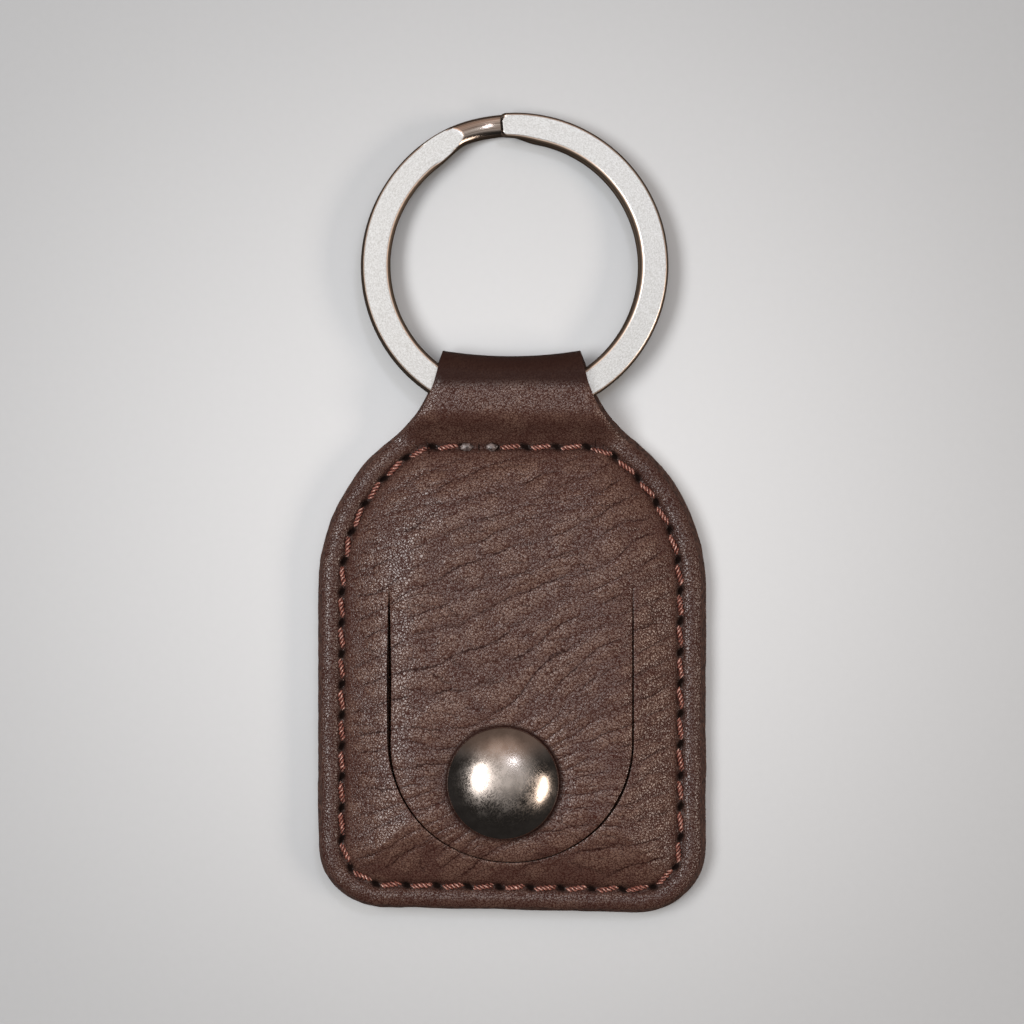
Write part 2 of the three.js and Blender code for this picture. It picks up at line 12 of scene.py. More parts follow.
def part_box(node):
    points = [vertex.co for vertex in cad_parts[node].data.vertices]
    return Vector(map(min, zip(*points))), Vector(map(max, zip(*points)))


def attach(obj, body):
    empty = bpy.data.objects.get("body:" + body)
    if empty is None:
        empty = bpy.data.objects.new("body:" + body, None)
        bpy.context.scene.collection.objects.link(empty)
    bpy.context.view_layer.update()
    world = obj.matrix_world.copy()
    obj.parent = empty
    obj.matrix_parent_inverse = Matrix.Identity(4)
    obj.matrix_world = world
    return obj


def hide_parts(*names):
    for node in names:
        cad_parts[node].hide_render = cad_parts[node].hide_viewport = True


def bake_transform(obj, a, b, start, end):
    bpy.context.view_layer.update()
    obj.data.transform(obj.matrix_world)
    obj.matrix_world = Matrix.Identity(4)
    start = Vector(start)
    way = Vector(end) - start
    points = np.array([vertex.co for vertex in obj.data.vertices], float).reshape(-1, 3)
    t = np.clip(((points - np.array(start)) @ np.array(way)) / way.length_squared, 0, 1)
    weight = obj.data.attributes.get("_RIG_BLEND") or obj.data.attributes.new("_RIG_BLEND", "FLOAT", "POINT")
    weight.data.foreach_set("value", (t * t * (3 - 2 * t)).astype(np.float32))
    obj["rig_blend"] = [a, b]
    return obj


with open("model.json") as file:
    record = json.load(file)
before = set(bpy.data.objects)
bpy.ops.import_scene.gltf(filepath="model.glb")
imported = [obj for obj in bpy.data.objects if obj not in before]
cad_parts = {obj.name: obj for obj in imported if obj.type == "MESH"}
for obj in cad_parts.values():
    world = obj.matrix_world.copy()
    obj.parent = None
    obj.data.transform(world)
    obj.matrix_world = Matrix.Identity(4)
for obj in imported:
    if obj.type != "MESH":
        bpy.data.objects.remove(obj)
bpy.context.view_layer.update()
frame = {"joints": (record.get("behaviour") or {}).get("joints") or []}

MM = 0.001
random.seed(7)
noise.seed_set(7)


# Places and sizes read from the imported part
def box_mm(node):
    """The corners of a CAD node's box in millimetres."""
    low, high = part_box(node)
    return np.array(low) / MM, np.array(high) / MM


joint_at = {joint["name"]: np.array(joint["pos_m"]) / MM for joint in frame["joints"]}
_, back_high = box_mm("back_panel")
_, neck_high = box_mm("neck_loop")
cap_low, cap_high = box_mm("snap_cap")
ring_low, ring_high = box_mm("split_ring")
HALF_WIDTH = back_high[0]
SEAM_Y = back_high[1]
LEATHER = back_high[2]
NECK_TOP_Y = neck_high[1]
LOOP_HEIGHT = neck_high[2]
SNAP_X, SNAP_Y, _ = (cap_low + cap_high) / 2
CAP_FLOOR = cap_low[2]
CAP_RADIUS = (cap_high[0] - cap_low[0]) / 2
CAP_HEIGHT = cap_high[2] - cap_low[2]
FOLD_Y, FLAP_TOP = joint_at["flap_hinge"][1:]
RING_RADIUS = (ring_high[0] - ring_low[0]) / 2
RING_AXIS = joint_at["ring_swing"]

# Leather outline, heights from the middle of the bottom edge
SEAM_HEIGHT = 49.24
BOTTOM_Y = SEAM_Y - SEAM_HEIGHT
BOTTOM_SLANT = 0.8
BOTTOM_RADIUS = 6.9
SHOULDER_HEIGHT = 43.1
SHOULDER_RADIUS = 19.5
NECK_ROOT_HALF = 9.53
NECK_ROOT_HEIGHT = 51.74
NECK_ROOT_RADIUS = 11.6
NECK_TOP_HALF = 7.25
SEAM_HALF = 12.62
SEAM_CORNER = 0.4  # least radius of the stitch row's corners
FRONT_SETBACK = 0.45  # the back layer shows this far past the front layer
NECK_SETBACK = 0.3
BACK_PEEK = 0.22  # how much farther the back layer shows on the right
BACK_PEEK_RUN = 10
HAND_CUT = 0.1  # how far the cut edge strays
HAND_CUT_WAVE = 4  # length of its longer waves
BACK_CUT_SEED = 3.1
FRONT_CUT_SEED = 8.4
OUTLINE_SPACING = 0.1
PAST_FOLD = 4  # how far the outline is carried on past the fold

# Swell, seam and edges of the leather
BORDER_TOP = 2 * LEATHER
POCKET_DEPTH = FLAP_TOP - BORDER_TOP
CROWN_START = 0.35
CROWN_WIDTH = 8.0
FOLD_LEATHER = 0.9
THINNING_RUN = 1.6  # the leather thins to that over this length from the seam up
FOLD_REACH = 2.8  # half width of the fold, seen from the side, along the fob
FOLD_HOLLOW = 0.6  # how far the middle of the fold's top line lies behind its corners
NECK_RISE_START = SEAM_Y - 0.7  # from here the front layer rises over the ring
NECK_RISE = 3.9
NECK_BASE_Y = SEAM_Y + 2.7  # where the sheets of front and back meet the neck's
NECK_BASE_GAP = 0.02  # an edge point closer than this to that line is left out
NECK_COLUMNS = 44
NECK_FRONT_ROWS = 13
NECK_BACK_ROWS = 9
FOLD_STEPS = 18
SEAM_DIP = 0.32
SEAM_DIP_WIDTH = 0.55
BACK_DIP = 0.62
BORDER_PUFF = 0.14
PUFF_RUN = 0.8  # the border's puff ends over this length above the top stitch row
EDGE_ROLL = 0.3
EDGE_ROLL_WIDTH = 0.9
CUT_ROLL = 0.16
CUT_ROLL_WIDTH = 0.5
CAP_PRESS = 0.18
CAP_PRESS_WIDTH = 2.2
PIT_DEPTH = 0.3
PIT_RADIUS = 0.35
PIT_SHARPNESS = 6
LAYER_GAP = 0.02  # half the least gap between the inner faces of front and back
FLOOR_MARGIN = 2  # the pocket's floor stays level this far past the rivet's flange
MERGED = 0.004  # points of two sheets closer than this become one

# Creases and wrinkles
GATHER = 1.2  # how much closer the creases lie at the snap
GATHER_REACH = 9.0
CREASE_SLOPE = 0.34
CREASE_CURVE = 0.006
CREASE_STRETCH = 1.06
WRINKLE_BEND = 0.5
WRINKLE_BEND_SIZE = 9
WRINKLE_BEND_SEED = 4
WRINKLES = [(10, 3.2, 0.11), (5, 1.4, 0.045)]  # length, width and height of the broad and the fine ones
WRINKLE_LEAST = 0.35  # share of their height that they keep at the seam
WRINKLE_SEAM_RUN = 3
WRINKLE_EDGE_RUN = 1.5
WRINKLE_FOLD_RUN = 3

# Rows of the leather sheets, as distances from an edge
EDGE_STEPS = [3.7, 3.3, 2.95, 2.65, 2.42, 2.2, 2.0, 1.8, 1.58, 1.3, 1.05, 0.8, 0.58, 0.38, 0.2, 0.08, 0]
CUT_STEPS = [0, 0.07, 0.18, 0.36, 0.65]
SEAT_STEPS = [0, 2.6, 2.95, 3.15, 3.3, 3.45, 3.6, 3.75, 3.95]
CAP_STEPS = [0, 3.4, 3.9, 4.3, 4.7]
LEAST_FACING = 0.55  # rows that meet an edge aslant are spread as if they met it no flatter than this
STUD_POST_HOLE = 1.3
CAP_POST_HOLE = 1.45

# Sewing
STITCH_INSET = 2.55
ROW_TO_SEAM = 0.8
STITCH_PITCH = 3.25
THREAD_GAP_X = -3.3
STITCH_LENGTH = 3.1
STITCH_FLAT = 0.32  # share of half a stitch that lies level
STITCH_STAND = 0.14
STITCH_SINK = 0.95
STITCH_DIVE = 1.5  # power of the curve in which the ends sink
STITCH_LIFT = (-0.03, 0.04)
STITCH_SLANT = 10.0  # degrees across the seam
STITCH_ASKEW = 3  # most degrees by which a stitch strays from that
STITCH_FUZZ = 0.09  # how far the strands stray
FUZZ_WAVES = 4  # per millimetre
STITCH_RAVEL = 0.05  # how far their fibres do
RAVEL_WAVES = 9
STRANDS = 3
STRAND_RADIUS = 0.14
STRAND_OFFSET = 0.15
STRAND_SIDES = 10
STRAND_STEPS = 24
TWIST_LENGTH = 1.3
HOLE_SLANT = -20  # of a needle hole's long side across the seam, degrees
HOLE_LENGTH = 0.66
HOLE_WIDTH = 0.36
BEADS = [(0.42, 0.62), (-0.4, 0.55)]  # place in stitches beside the gap's middle, and half length
BEAD_HALF_WIDTH = 0.42
BEAD_HALF_HEIGHT = 0.3
BEAD_STAND = 0.18
BEAD_LUMPS = 0.35
BEAD_LUMP_WAVES = 1.7

# Coin flap
FLAP_HALF = 12.64
FLAP_ARC_Y = BOTTOM_Y + 17.9
FLAP_TOP_SHARE = 0.4  # of the fold line, the part that faces the neck
SLIT_SIDE_STEPS = 80
SLIT_ARC_STEPS = 160
SLIT_SPACING = 0.05
# Width of the slit by the way along it from the left end of the fold
SLIT_TRAVEL = [0, 3, 9, 15, 20, 28, 36, 43, 49, 55, 68, 71.4]
SLIT_WIDTH = [0.04, 0.28, 0.5, 0.42, 0.22, 0.12, 0.1, 0.16, 0.28, 0.2, 0.16, 0.04]

# Snap fastener, its profiles as corners of (radius, height, rounding)
FLANGE_RADIUS = 4.3
FLANGE_SEAT = 0.6
FLANGE_MARGIN = 0.1
FLANGE_SEAT_RUN = 0.7
CAP_SHEET = 0.4
CAP_SLOPE = 43  # slope of the dome where it meets its rolled shoulder, degrees
CAP_SHOULDER = 0.45
CAP_ROLL = 0.3
CAP_LIP = 0.55
SNAP_STEPS = 96
SPRING_WIRE = 0.27
SPRING_RADIUS = 2.35
SPRING_HEIGHT = 2.67
SPRING_MOUTH = 0.9
SPRING_SIDES = 12
SPRING_STEPS = 72
CAP_POST = [
    (0, 3.55, 0), (2.0, 3.55, 0.14), (2.0, 3.85, 0.05), (1.3, 3.85, 0),
    (1.3, 6.1, 0), (5.25, 6.1, 0.1), (5.25, 6.5, 0.1), (0, 6.5, 0),
]
SOCKET = [
    (2.6, 2.0, 0.14), (4.8, 2.0, 0.5), (4.8, 4.25, 0.4), (1.45, 4.25, 0),
    (1.45, 3.85, 0), (3.2, 3.85, 0.2), (3.2, 2.35, 0.05), (2.6, 2.35, 0.1),
]
STUD = [
    (1.25, LEATHER, 0), (3.9, LEATHER, 0.1), (3.9, 1.7, 0.18), (1.7, 1.7, 0.3), (1.7, 2.85, 0.2),
    (2.2, 3.2, 0.2), (1.95, 3.55, 0.12), (1.6, 3.55, 0.05), (1.6, 3.3, 0), (1.25, 3.3, 0),
]
STUD_POST = [
    (0, 0.4, 0), (0.75, 0.4, 0.1), (0.95, 0.1, 0.1), (FLANGE_RADIUS, 0.1, 0.3), (FLANGE_RADIUS, 0.6, 0.1),
    (1.1, 0.6, 0), (1.1, 3.3, 0), (1.45, 3.3, 0.05), (1.45, 3.5, 0.08), (0, 3.5, 0),
]

# Split ring, turns in degrees along the wire from its front end
RING_MIDDLE_X = 0.42  # the ring has slid a little to the right in its loop
RING_MIDDLE_Y = BOTTOM_Y + 67.368
RING_BAND = 3.0
RING_COIL = 0.8
RING_COIL_GAP = 0.5
RING_COIL_SHIFT = 0.15
RING_SIDE_ARC = 60
RING_SIDE_STEPS = 8
RING_OUTER_SIDE = 0.6
RING_INNER_SIDE = 0.95
RING_FACE_STEPS = 24
RING_FACE_MIDDLE = 3.71  # round the wire, from the foot of its outer side
RING_END_ANGLE = 95.9
FRONT_TURN = 334
STEP_TURN = 26
BACK_TURN = 326
STEP_END = FRONT_TURN + STEP_TURN
RING_TURN = STEP_END + BACK_TURN
RING_END_SLOPE = 0.26  # the ends of the wire are cut off sloped, this far along it
RING_END_CORNER = 0.5
RING_END_ROUND = 0.6
RING_END_DROP = 0.9  # most that the face falls at an end, of half the wire's height
RING_END_TAPER = 0.4  # how much the inner side draws in over the run up to an end
RING_END_RUN = 5.0
RING_END_ROWS = np.array([0, 0.25, 0.5, 0.75, 1.0, 1.3, 1.7, 2.2, 2.8])
RING_ROWS = np.arange(4, RING_TURN - 4, 1.5)
RING_STEP_ROWS = np.arange(FRONT_TURN - 10, STEP_END + 16, 0.3)
RING_CROWN = 0.42  # how far the wire stands above its ground face where the step keeps it round
RING_CROWN_OUT = 0.15
RING_CROWN_WIDTH = 1.6
RING_CROWN_START = FRONT_TURN - 8
RING_CROWN_END = STEP_END + 12
RING_CROWN_RUN = 8
RING_WAIST = 0.65  # how much narrower the wire is at the step, on its inner side
RING_WAIST_START = FRONT_TURN - 5
RING_WAIST_IN = 17
RING_WAIST_END = STEP_END + 16
RING_WAIST_OUT = 14
RING_SHARP = 15  # degrees from which an edge of the ring is sharp

# Patterns of the materials, sizes in millimetres
PEBBLE = 0.29
PEBBLE_ASTRAY = 0.4
FINE_GRAIN = 0.17
CREASE_JAG = 0.5
LEATHER_CLOUD = 3.0
HOLE_RAG = 0.3
NAP = 0.25
FIBRE = 0.5
FIBRE_LAYERS = 6
FUZZ = 0.15
GLINT_SPOT = 0.12
# size of the thread's painted glints
SOOT = 0.4
PLATE_CLOUD = 1.4
PLATE_SPECK = 0.08
HAIRLINE = 0.13
HAIRLINE_STRETCH = 5
HAIRLINE_TURNS = (35, -50, 80)
BRUSHING = 0.11
BRUSHING_STRETCH = 0.3
DRAWN_STRIPE = 0.2
DRAWN_STRETCH = 0.03
TUMBLED = 0.16
PAPER_SPOT = 0.8

# Studio
LAMP_DISTANCE = 0.6
FLOOR_HALF = 1.2
FLOOR_DROP = 0.05
FRAME_WIDTH = 106.7
LENS_HEIGHT = 400.0
SUBJECT_HEIGHT = 2.5
CAMERA_AT = (0.1, 0.1, LENS_HEIGHT)


# Plane outlines
def meeting(a, along, b, other):
    """Where two lines in the plane meet, each given by a point and a direction."""
    t = np.cross(b - a, other) / np.cross(along, other)
    return a + t * along


def inset_corners(corners, insets):
    """Corners of (x, y, radius) moved in: each edge, which starts at its corner, by its own inset."""
    places = np.array([corner[:2] for corner in corners], float)
    along = np.roll(places, -1, axis=0) - places
    along /= np.linalg.norm(along, axis=1)[:, None]
    inward = np.stack([-along[:, 1], along[:, 0]], axis=1)
    starts = places + inward * np.array(insets)[:, None]
    moved = []
    for i, (_, _, radius) in enumerate(corners):
        x, y = meeting(starts[i - 1], along[i - 1], starts[i], along[i])
        hollow = np.cross(along[i - 1], along[i]) < 0
        inset = (insets[i - 1] + insets[i]) / 2
        moved.append((x, y, max(radius + (inset if hollow else -inset), 0.0)))
    return moved


def rounded(corners, steps=24):
    """Points of a closed outline whose corners of (x, y, radius) are rounded by arcs."""
    points = []
    count = len(corners)
    for i, (x, y, radius) in enumerate(corners):
        at = np.array((x, y))
        back = np.array(corners[i - 1][:2]) - at
        ahead = np.array(corners[(i + 1) % count][:2]) - at
        back /= np.linalg.norm(back)
        ahead /= np.linalg.norm(ahead)
        if radius == 0:
            points.append(at)
            continue
        half = math.acos(np.dot(back, ahead)) / 2
        reach = radius / math.tan(half)
        bisector = (back + ahead) / np.linalg.norm(back + ahead)
        middle = at + bisector * reach / math.cos(half)
        arm = at + back * reach - middle
        sweep = (math.pi - 2 * half) * np.sign(np.cross(-back, ahead))
        for k in range(steps + 1):
            c, s = math.cos(sweep * k / steps), math.sin(sweep * k / steps)
            points.append(middle + np.array((c * arm[0] - s * arm[1], s * arm[0] + c * arm[1])))
    return np.array(points)


def travel_of(points):
    """How far along an open line of points each of them lies."""
    return np.concatenate([[0], np.cumsum(np.linalg.norm(np.diff(points, axis=0), axis=1))])


def along_line(points, at):
    """Places at these distances along an open line of points."""
    travel = travel_of(points)
    return np.stack([np.interp(at, travel, points[:, k]) for k in (0, 1)], axis=1)


def dense(points, spacing):
    """The closed outline with points added, so that none are farther apart than the spacing."""
    closed = np.vstack([points, points[:1]])
    travel = travel_of(closed)
    at = np.union1d(travel, np.arange(0, travel[-1], spacing))
    at = at[np.concatenate([[True], np.diff(at) > 1e-4])]
    return along_line(closed, at[at < travel[-1] - 1e-4])


def starting_at(points, place):
    """The closed outline with its start moved to the point nearest a place."""
    first = np.argmin(np.linalg.norm(points - np.array(place), axis=1))
    return np.roll(points, -first, axis=0)


def stretches(points, places, counts):
    """Points along a closed outline: from each place to the next, its own count of points."""
    found = []
    for i, count in enumerate(counts):
        turned = starting_at(points, places[i])
        end = places[(i + 1) % len(places)]
        last = np.argmin(np.linalg.norm(turned - np.array(end), axis=1))
        part = turned[: last + 1]
        found.append(along_line(part, np.linspace(0, travel_of(part)[-1], count, endpoint=False)))
    return np.vstack(found)


def nearest(path, points, closed=True):
    """Each point's distance from a dense path, positive on the path's left, and how far along it lies."""
    count = len(path)
    tree = kdtree.KDTree(count)
    for i, (x, y) in enumerate(path):
        tree.insert((x, y, 0), i)
    tree.balance()
    found = np.array([tree.find((x, y, 0))[1] for x, y in points])
    starts = path if closed else path[:-1]
    run = (np.roll(path, -1, axis=0) if closed else path[1:]) - starts
    length = np.linalg.norm(run, axis=1)
    before = np.concatenate([[0], np.cumsum(length)[:-1]])
    distance = np.full(len(points), np.inf)
    travel = np.zeros(len(points))
    for shift in (-1, 0):
        i = (found + shift) % count if closed else np.clip(found + shift, 0, count - 2)
        off = points - starts[i]
        share = np.clip((off * run[i]).sum(1) / length[i] ** 2, 0, 1)
        side = np.where(np.cross(run[i], off) < 0, -1, 1)
        away = np.linalg.norm(off - share[:, None] * run[i], axis=1) * side
        closer = np.abs(away) < np.abs(distance)
        distance = np.where(closer, away, distance)
        travel = np.where(closer, before[i] + share * length[i], travel)
    return distance, travel


def smooth(t):
    """Eases a share from 0 to 1."""
    t = np.clip(t, 0, 1)
    return t * t * (3 - 2 * t)


def at_height(corners):
    """Corners moved up from heights above the bottom edge to places on the part."""
    return [(x, y + BOTTOM_Y, radius) for x, y, radius in corners]


# The strip's outline: the back at full size, the front a little smaller, both up to where the fold starts
fold_start_y = NECK_TOP_Y - FOLD_REACH
neck_taper = (NECK_ROOT_HALF - NECK_TOP_HALF) / (NECK_TOP_Y - BOTTOM_Y - NECK_ROOT_HEIGHT)
fold_half = NECK_TOP_HALF + neck_taper * FOLD_REACH
body_corners = at_height([
    (-HALF_WIDTH, BOTTOM_SLANT / 2, BOTTOM_RADIUS),
    (HALF_WIDTH, -BOTTOM_SLANT / 2, BOTTOM_RADIUS),
    (HALF_WIDTH, SHOULDER_HEIGHT, SHOULDER_RADIUS),
])
left_shoulder = at_height([(-HALF_WIDTH, SHOULDER_HEIGHT, SHOULDER_RADIUS)])
root_y = NECK_ROOT_HEIGHT + BOTTOM_Y
neck_corners = [
    (NECK_ROOT_HALF, root_y, NECK_ROOT_RADIUS),
    (fold_half, fold_start_y, 0),
    (-fold_half, fold_start_y, 0),
    (-NECK_ROOT_HALF, root_y, NECK_ROOT_RADIUS),
]
back_corners = body_corners + neck_corners + left_shoulder
front_insets = [FRONT_SETBACK] * 3 + [NECK_SETBACK, 0, NECK_SETBACK] + [FRONT_SETBACK] * 2
front_corners = inset_corners(back_corners, front_insets)
seam_corners = body_corners + [(SEAM_HALF, SEAM_Y, 0), (-SEAM_HALF, SEAM_Y, 0)] + left_shoulder
row_insets = [STITCH_INSET] * 3 + [ROW_TO_SEAM] + [STITCH_INSET] * 2
row_corners = [(x, y, max(radius, SEAM_CORNER)) for x, y, radius in inset_corners(seam_corners, row_insets)]


def hand_cut(points, seed):
    """A cut edge that strays a little, as one cut by hand, except along the fold."""
    along = np.roll(points, -1, axis=0) - np.roll(points, 1, axis=0)
    outward = np.stack([along[:, 1], -along[:, 0]], axis=1) / np.linalg.norm(along, axis=1)[:, None]
    long_waves = [noise.noise(Vector((x / HAND_CUT_WAVE, y / HAND_CUT_WAVE, seed))) for x, y in points]
    short_waves = [noise.noise(Vector((x, y, seed))) for x, y in points]
    stray = np.array(long_waves) + 0.5 * np.array(short_waves)
    stray *= HAND_CUT * smooth((fold_start_y - points[:, 1]) / 2)
    return points + outward * stray[:, None]


back_edge = hand_cut(dense(rounded(back_corners), OUTLINE_SPACING), BACK_CUT_SEED)
back_edge[:, 0] += BACK_PEEK * smooth(back_edge[:, 0] / BACK_PEEK_RUN)
front_edge = hand_cut(dense(rounded(front_corners), OUTLINE_SPACING), FRONT_CUT_SEED)


def sides_of(edge):
    """The cut edge as an open line from the left end of the fold round the bottom to the right end, carried
    on past the fold."""
    turned = starting_at(edge, (0, fold_start_y))
    sides = turned[turned[:, 1] < fold_start_y - 1e-6]
    return np.vstack([sides[:1] + (0, PAST_FOLD), sides, sides[-1:] + (0, PAST_FOLD)])


back_sides = sides_of(back_edge)
front_sides = sides_of(front_edge)


def ends_at(sides, y):
    """Where the leather's left and right edges lie at a height on the neck."""
    left = sides[(sides[:, 0] < 0) & (sides[:, 1] > SEAM_Y)]
    right = sides[(sides[:, 0] > 0) & (sides[:, 1] > SEAM_Y)]
    return np.interp(y, left[::-1, 1], left[::-1, 0]), np.interp(y, right[:, 1], right[:, 0])


def below_neck(sides):
    """The outline below the neck, closed straight across its base."""
    left, right = ends_at(sides, NECK_BASE_Y)
    below = sides[sides[:, 1] < NECK_BASE_Y - NECK_BASE_GAP]
    return np.vstack([[(left, NECK_BASE_Y)], below, [(right, NECK_BASE_Y)]])


row_outline = dense(rounded(row_corners), OUTLINE_SPACING)
stitch_row = starting_at(row_outline, (THREAD_GAP_X, SEAM_Y - ROW_TO_SEAM))
row_length = travel_of(np.vstack([stitch_row, stitch_row[:1]]))[-1]
stitch_count = round(row_length / STITCH_PITCH)
stitch_pitch = row_length / stitch_count


# The slit round the flap
def slit_points():
    """The middle of the slit: down the left side, round the end and up the right side."""
    side = np.linspace(FOLD_Y, FLAP_ARC_Y, SLIT_SIDE_STEPS, endpoint=False)
    angles = np.linspace(math.pi, 2 * math.pi, SLIT_ARC_STEPS)
    left = np.stack([np.full(SLIT_SIDE_STEPS, -FLAP_HALF), side], axis=1)
    arc = np.stack([FLAP_HALF * np.cos(angles), FLAP_ARC_Y + FLAP_HALF * np.sin(angles)], axis=1)
    right = left[::-1] * (-1, 1)
    return np.vstack([left, arc, right])


slit_line = slit_points()


def slit_loop(side):
    """The slit line moved half the slit's width inward (side -1) or outward (side 1)."""
    x, y = slit_line[:, 0], slit_line[:, 1]
    outward = np.stack([x, np.minimum(y - FLAP_ARC_Y, 0)], axis=1)
    outward /= np.linalg.norm(outward, axis=1)[:, None]
    width = np.interp(travel_of(slit_line), SLIT_TRAVEL, SLIT_WIDTH)
    return slit_line + outward * (side * width / 2)[:, None]


# Height of the outer face of the front, and of the outer face of the back
def wrinkles(points):
    """Soft waves along the lay of the creases."""
    heights = []
    for along, across in zip(*crease_lay(points)):
        winding = (along / WRINKLE_BEND_SIZE, across / WRINKLE_BEND_SIZE, WRINKLE_BEND_SEED)
        bend = WRINKLE_BEND * noise.noise(Vector(winding))
        height = 0
        for seed, (length, width, rise) in enumerate(WRINKLES, 1):
            height += rise * noise.noise(Vector((along / length, across / width + bend, seed)))
        heights.append(height)
    return np.array(heights)


def front_height(points):
    """Height of the front: swollen over the pocket, raised over the ring, drawn in along the seam, rolled
    down at its edges and at the slit, pressed in round the cap, and wrinkled."""
    x, y = points[:, 0], points[:, 1]
    row, along = nearest(stitch_row, points)
    edge, _ = nearest(front_sides, points, closed=False)
    cut, _ = nearest(slit_line, points, closed=False)
    needle = needle_share(along)
    from_snap = np.hypot(x - SNAP_X, y - SNAP_Y)
    swell = POCKET_DEPTH * np.sin(np.clip((row - CROWN_START) / CROWN_WIDTH, 0, 1) * math.pi / 2)
    in_neck = smooth((y - SEAM_Y + ROW_TO_SEAM) / PUFF_RUN)
    lift = (LOOP_HEIGHT - BORDER_TOP) * smooth((y - NECK_RISE_START) / NECK_RISE)
    dip = SEAM_DIP * np.exp(-((row / SEAM_DIP_WIDTH) ** 2))
    pits = PIT_DEPTH * needle**PIT_SHARPNESS * np.exp(-((row / PIT_RADIUS) ** 2))
    border = np.clip(edge / (STITCH_INSET - FRONT_SETBACK), 0, 1)
    puff = BORDER_PUFF * np.sin(border * math.pi) * (row < 0) * (1 - in_neck)
    roll = EDGE_ROLL * np.clip(1 - edge / EDGE_ROLL_WIDTH, 0, 1) ** 2
    lip = CUT_ROLL * np.clip(1 - np.abs(cut) / CUT_ROLL_WIDTH, 0, 1) ** 2
    press = CAP_PRESS * smooth(1 - (from_snap - CAP_RADIUS) / CAP_PRESS_WIDTH)
    waves = wrinkles(points) * (WRINKLE_LEAST + (1 - WRINKLE_LEAST) * smooth(row / WRINKLE_SEAM_RUN))
    waves *= smooth(edge / WRINKLE_EDGE_RUN) * smooth((fold_start_y - y) / WRINKLE_FOLD_RUN)
    return BORDER_TOP + swell + lift + puff + waves - dip - pits - roll - lip - press


def back_height(points):
    """Height of the back: level, but for the seam, its rolled edges and the rivet's seat."""
    row, _ = nearest(stitch_row, points)
    edge, _ = nearest(back_sides, points, closed=False)
    from_snap = np.hypot(points[:, 0] - SNAP_X, points[:, 1] - SNAP_Y)
    dip = BACK_DIP * np.exp(-((row / SEAM_DIP_WIDTH) ** 2))
    roll = EDGE_ROLL * np.clip(1 - edge / EDGE_ROLL_WIDTH, 0, 1) ** 2
    seat = FLANGE_SEAT * smooth(1 - (from_snap - FLANGE_RADIUS - FLANGE_MARGIN) / FLANGE_SEAT_RUN)
    return np.maximum(np.maximum(dip, roll), seat)


def needle_share(along):
    """1 at a needle hole, 0 in the middle of a stitch."""
    return (1 - np.cos(2 * math.pi * along / stitch_pitch)) / 2


# Leather sheets
def sheet_between(bm, inner, outer, inner_steps, middle_steps, outer_steps):
    """A flat sheet between two closed outlines of as many points each. Its rows lie at set distances from
    both outlines, with even rows between them."""
    count = len(inner)
    run = outer - inner
    reach = np.linalg.norm(run, axis=1)
    run /= reach[:, None]
    along = np.roll(outer, -1, axis=0) - np.roll(outer, 1, axis=0)
    outward = np.stack([along[:, 1], -along[:, 0]], axis=1) / np.linalg.norm(along, axis=1)[:, None]
    facing = np.clip((run * outward).sum(1), LEAST_FACING, 1)
    near = [np.full(count, step) for step in inner_steps]
    far = [reach - step / facing for step in outer_steps]
    middle = [near[-1] + (far[0] - near[-1]) * k / middle_steps for k in range(1, middle_steps)]
    rows = near + middle + far
    last = len(rows) - 1
    made = bmesh.ops.create_grid(bm, x_segments=count, y_segments=last, size=1)["verts"]
    for vert in made:
        i = round((vert.co.x + 1) / 2 * count) % count
        k = round((vert.co.y + 1) / 2 * last)
        place = inner[i] + run[i] * rows[k][i]
        vert.co = (*place, 0)
    bmesh.ops.remove_doubles(bm, verts=made, dist=1e-5)
    return [vert for vert in made if vert.is_valid]


def raise_to(verts, height):
    """Moves the points of a flat sheet to their heights."""
    points = np.array([vert.co.xy for vert in verts])
    for vert, z in zip(verts, height(points)):
        vert.co.z = z


def leather_mesh():
    """An empty mesh that notes at each point its distance from the stitch row, how far along the row it
    lies past a needle hole, the lay of its creases, and the step to the sheet's inner face."""
    bm = bmesh.new()
    bm.verts.layers.float.new("row")
    bm.verts.layers.float.new("past_hole")
    bm.verts.layers.float_vector.new("lay")
    bm.verts.layers.float_vector.new("step")
    return bm


def crease_lay(points):
    """How far along and across the creases each point lies. They rise to the right, flatter towards the
    left, and run together at the snap."""
    x, y = points[:, 0] - SNAP_X, points[:, 1] - SNAP_Y
    gather = 1 + GATHER * np.exp(-((np.hypot(x, y) / GATHER_REACH) ** 2))
    slope = CREASE_SLOPE * x + CREASE_CURVE * x * np.abs(x)
    return x * CREASE_STRETCH, (y - slope) * gather


def mark_leather(bm, verts):
    """Notes where the points of a sheet lie, for the leather's patterns."""
    row_layer = bm.verts.layers.float["row"]
    past_layer = bm.verts.layers.float["past_hole"]
    lay_layer = bm.verts.layers.float_vector["lay"]
    points = np.array([vert.co.xy for vert in verts])
    row, travel = nearest(stitch_row, points)
    along, across = crease_lay(points)
    past = (travel / stitch_pitch % 1 - 0.5) * stitch_pitch
    for vert, away, beyond, a, b in zip(verts, row, past, along, across):
        vert[row_layer] = away
        vert[past_layer] = beyond
        vert[lay_layer] = (a, b, vert.co.z)


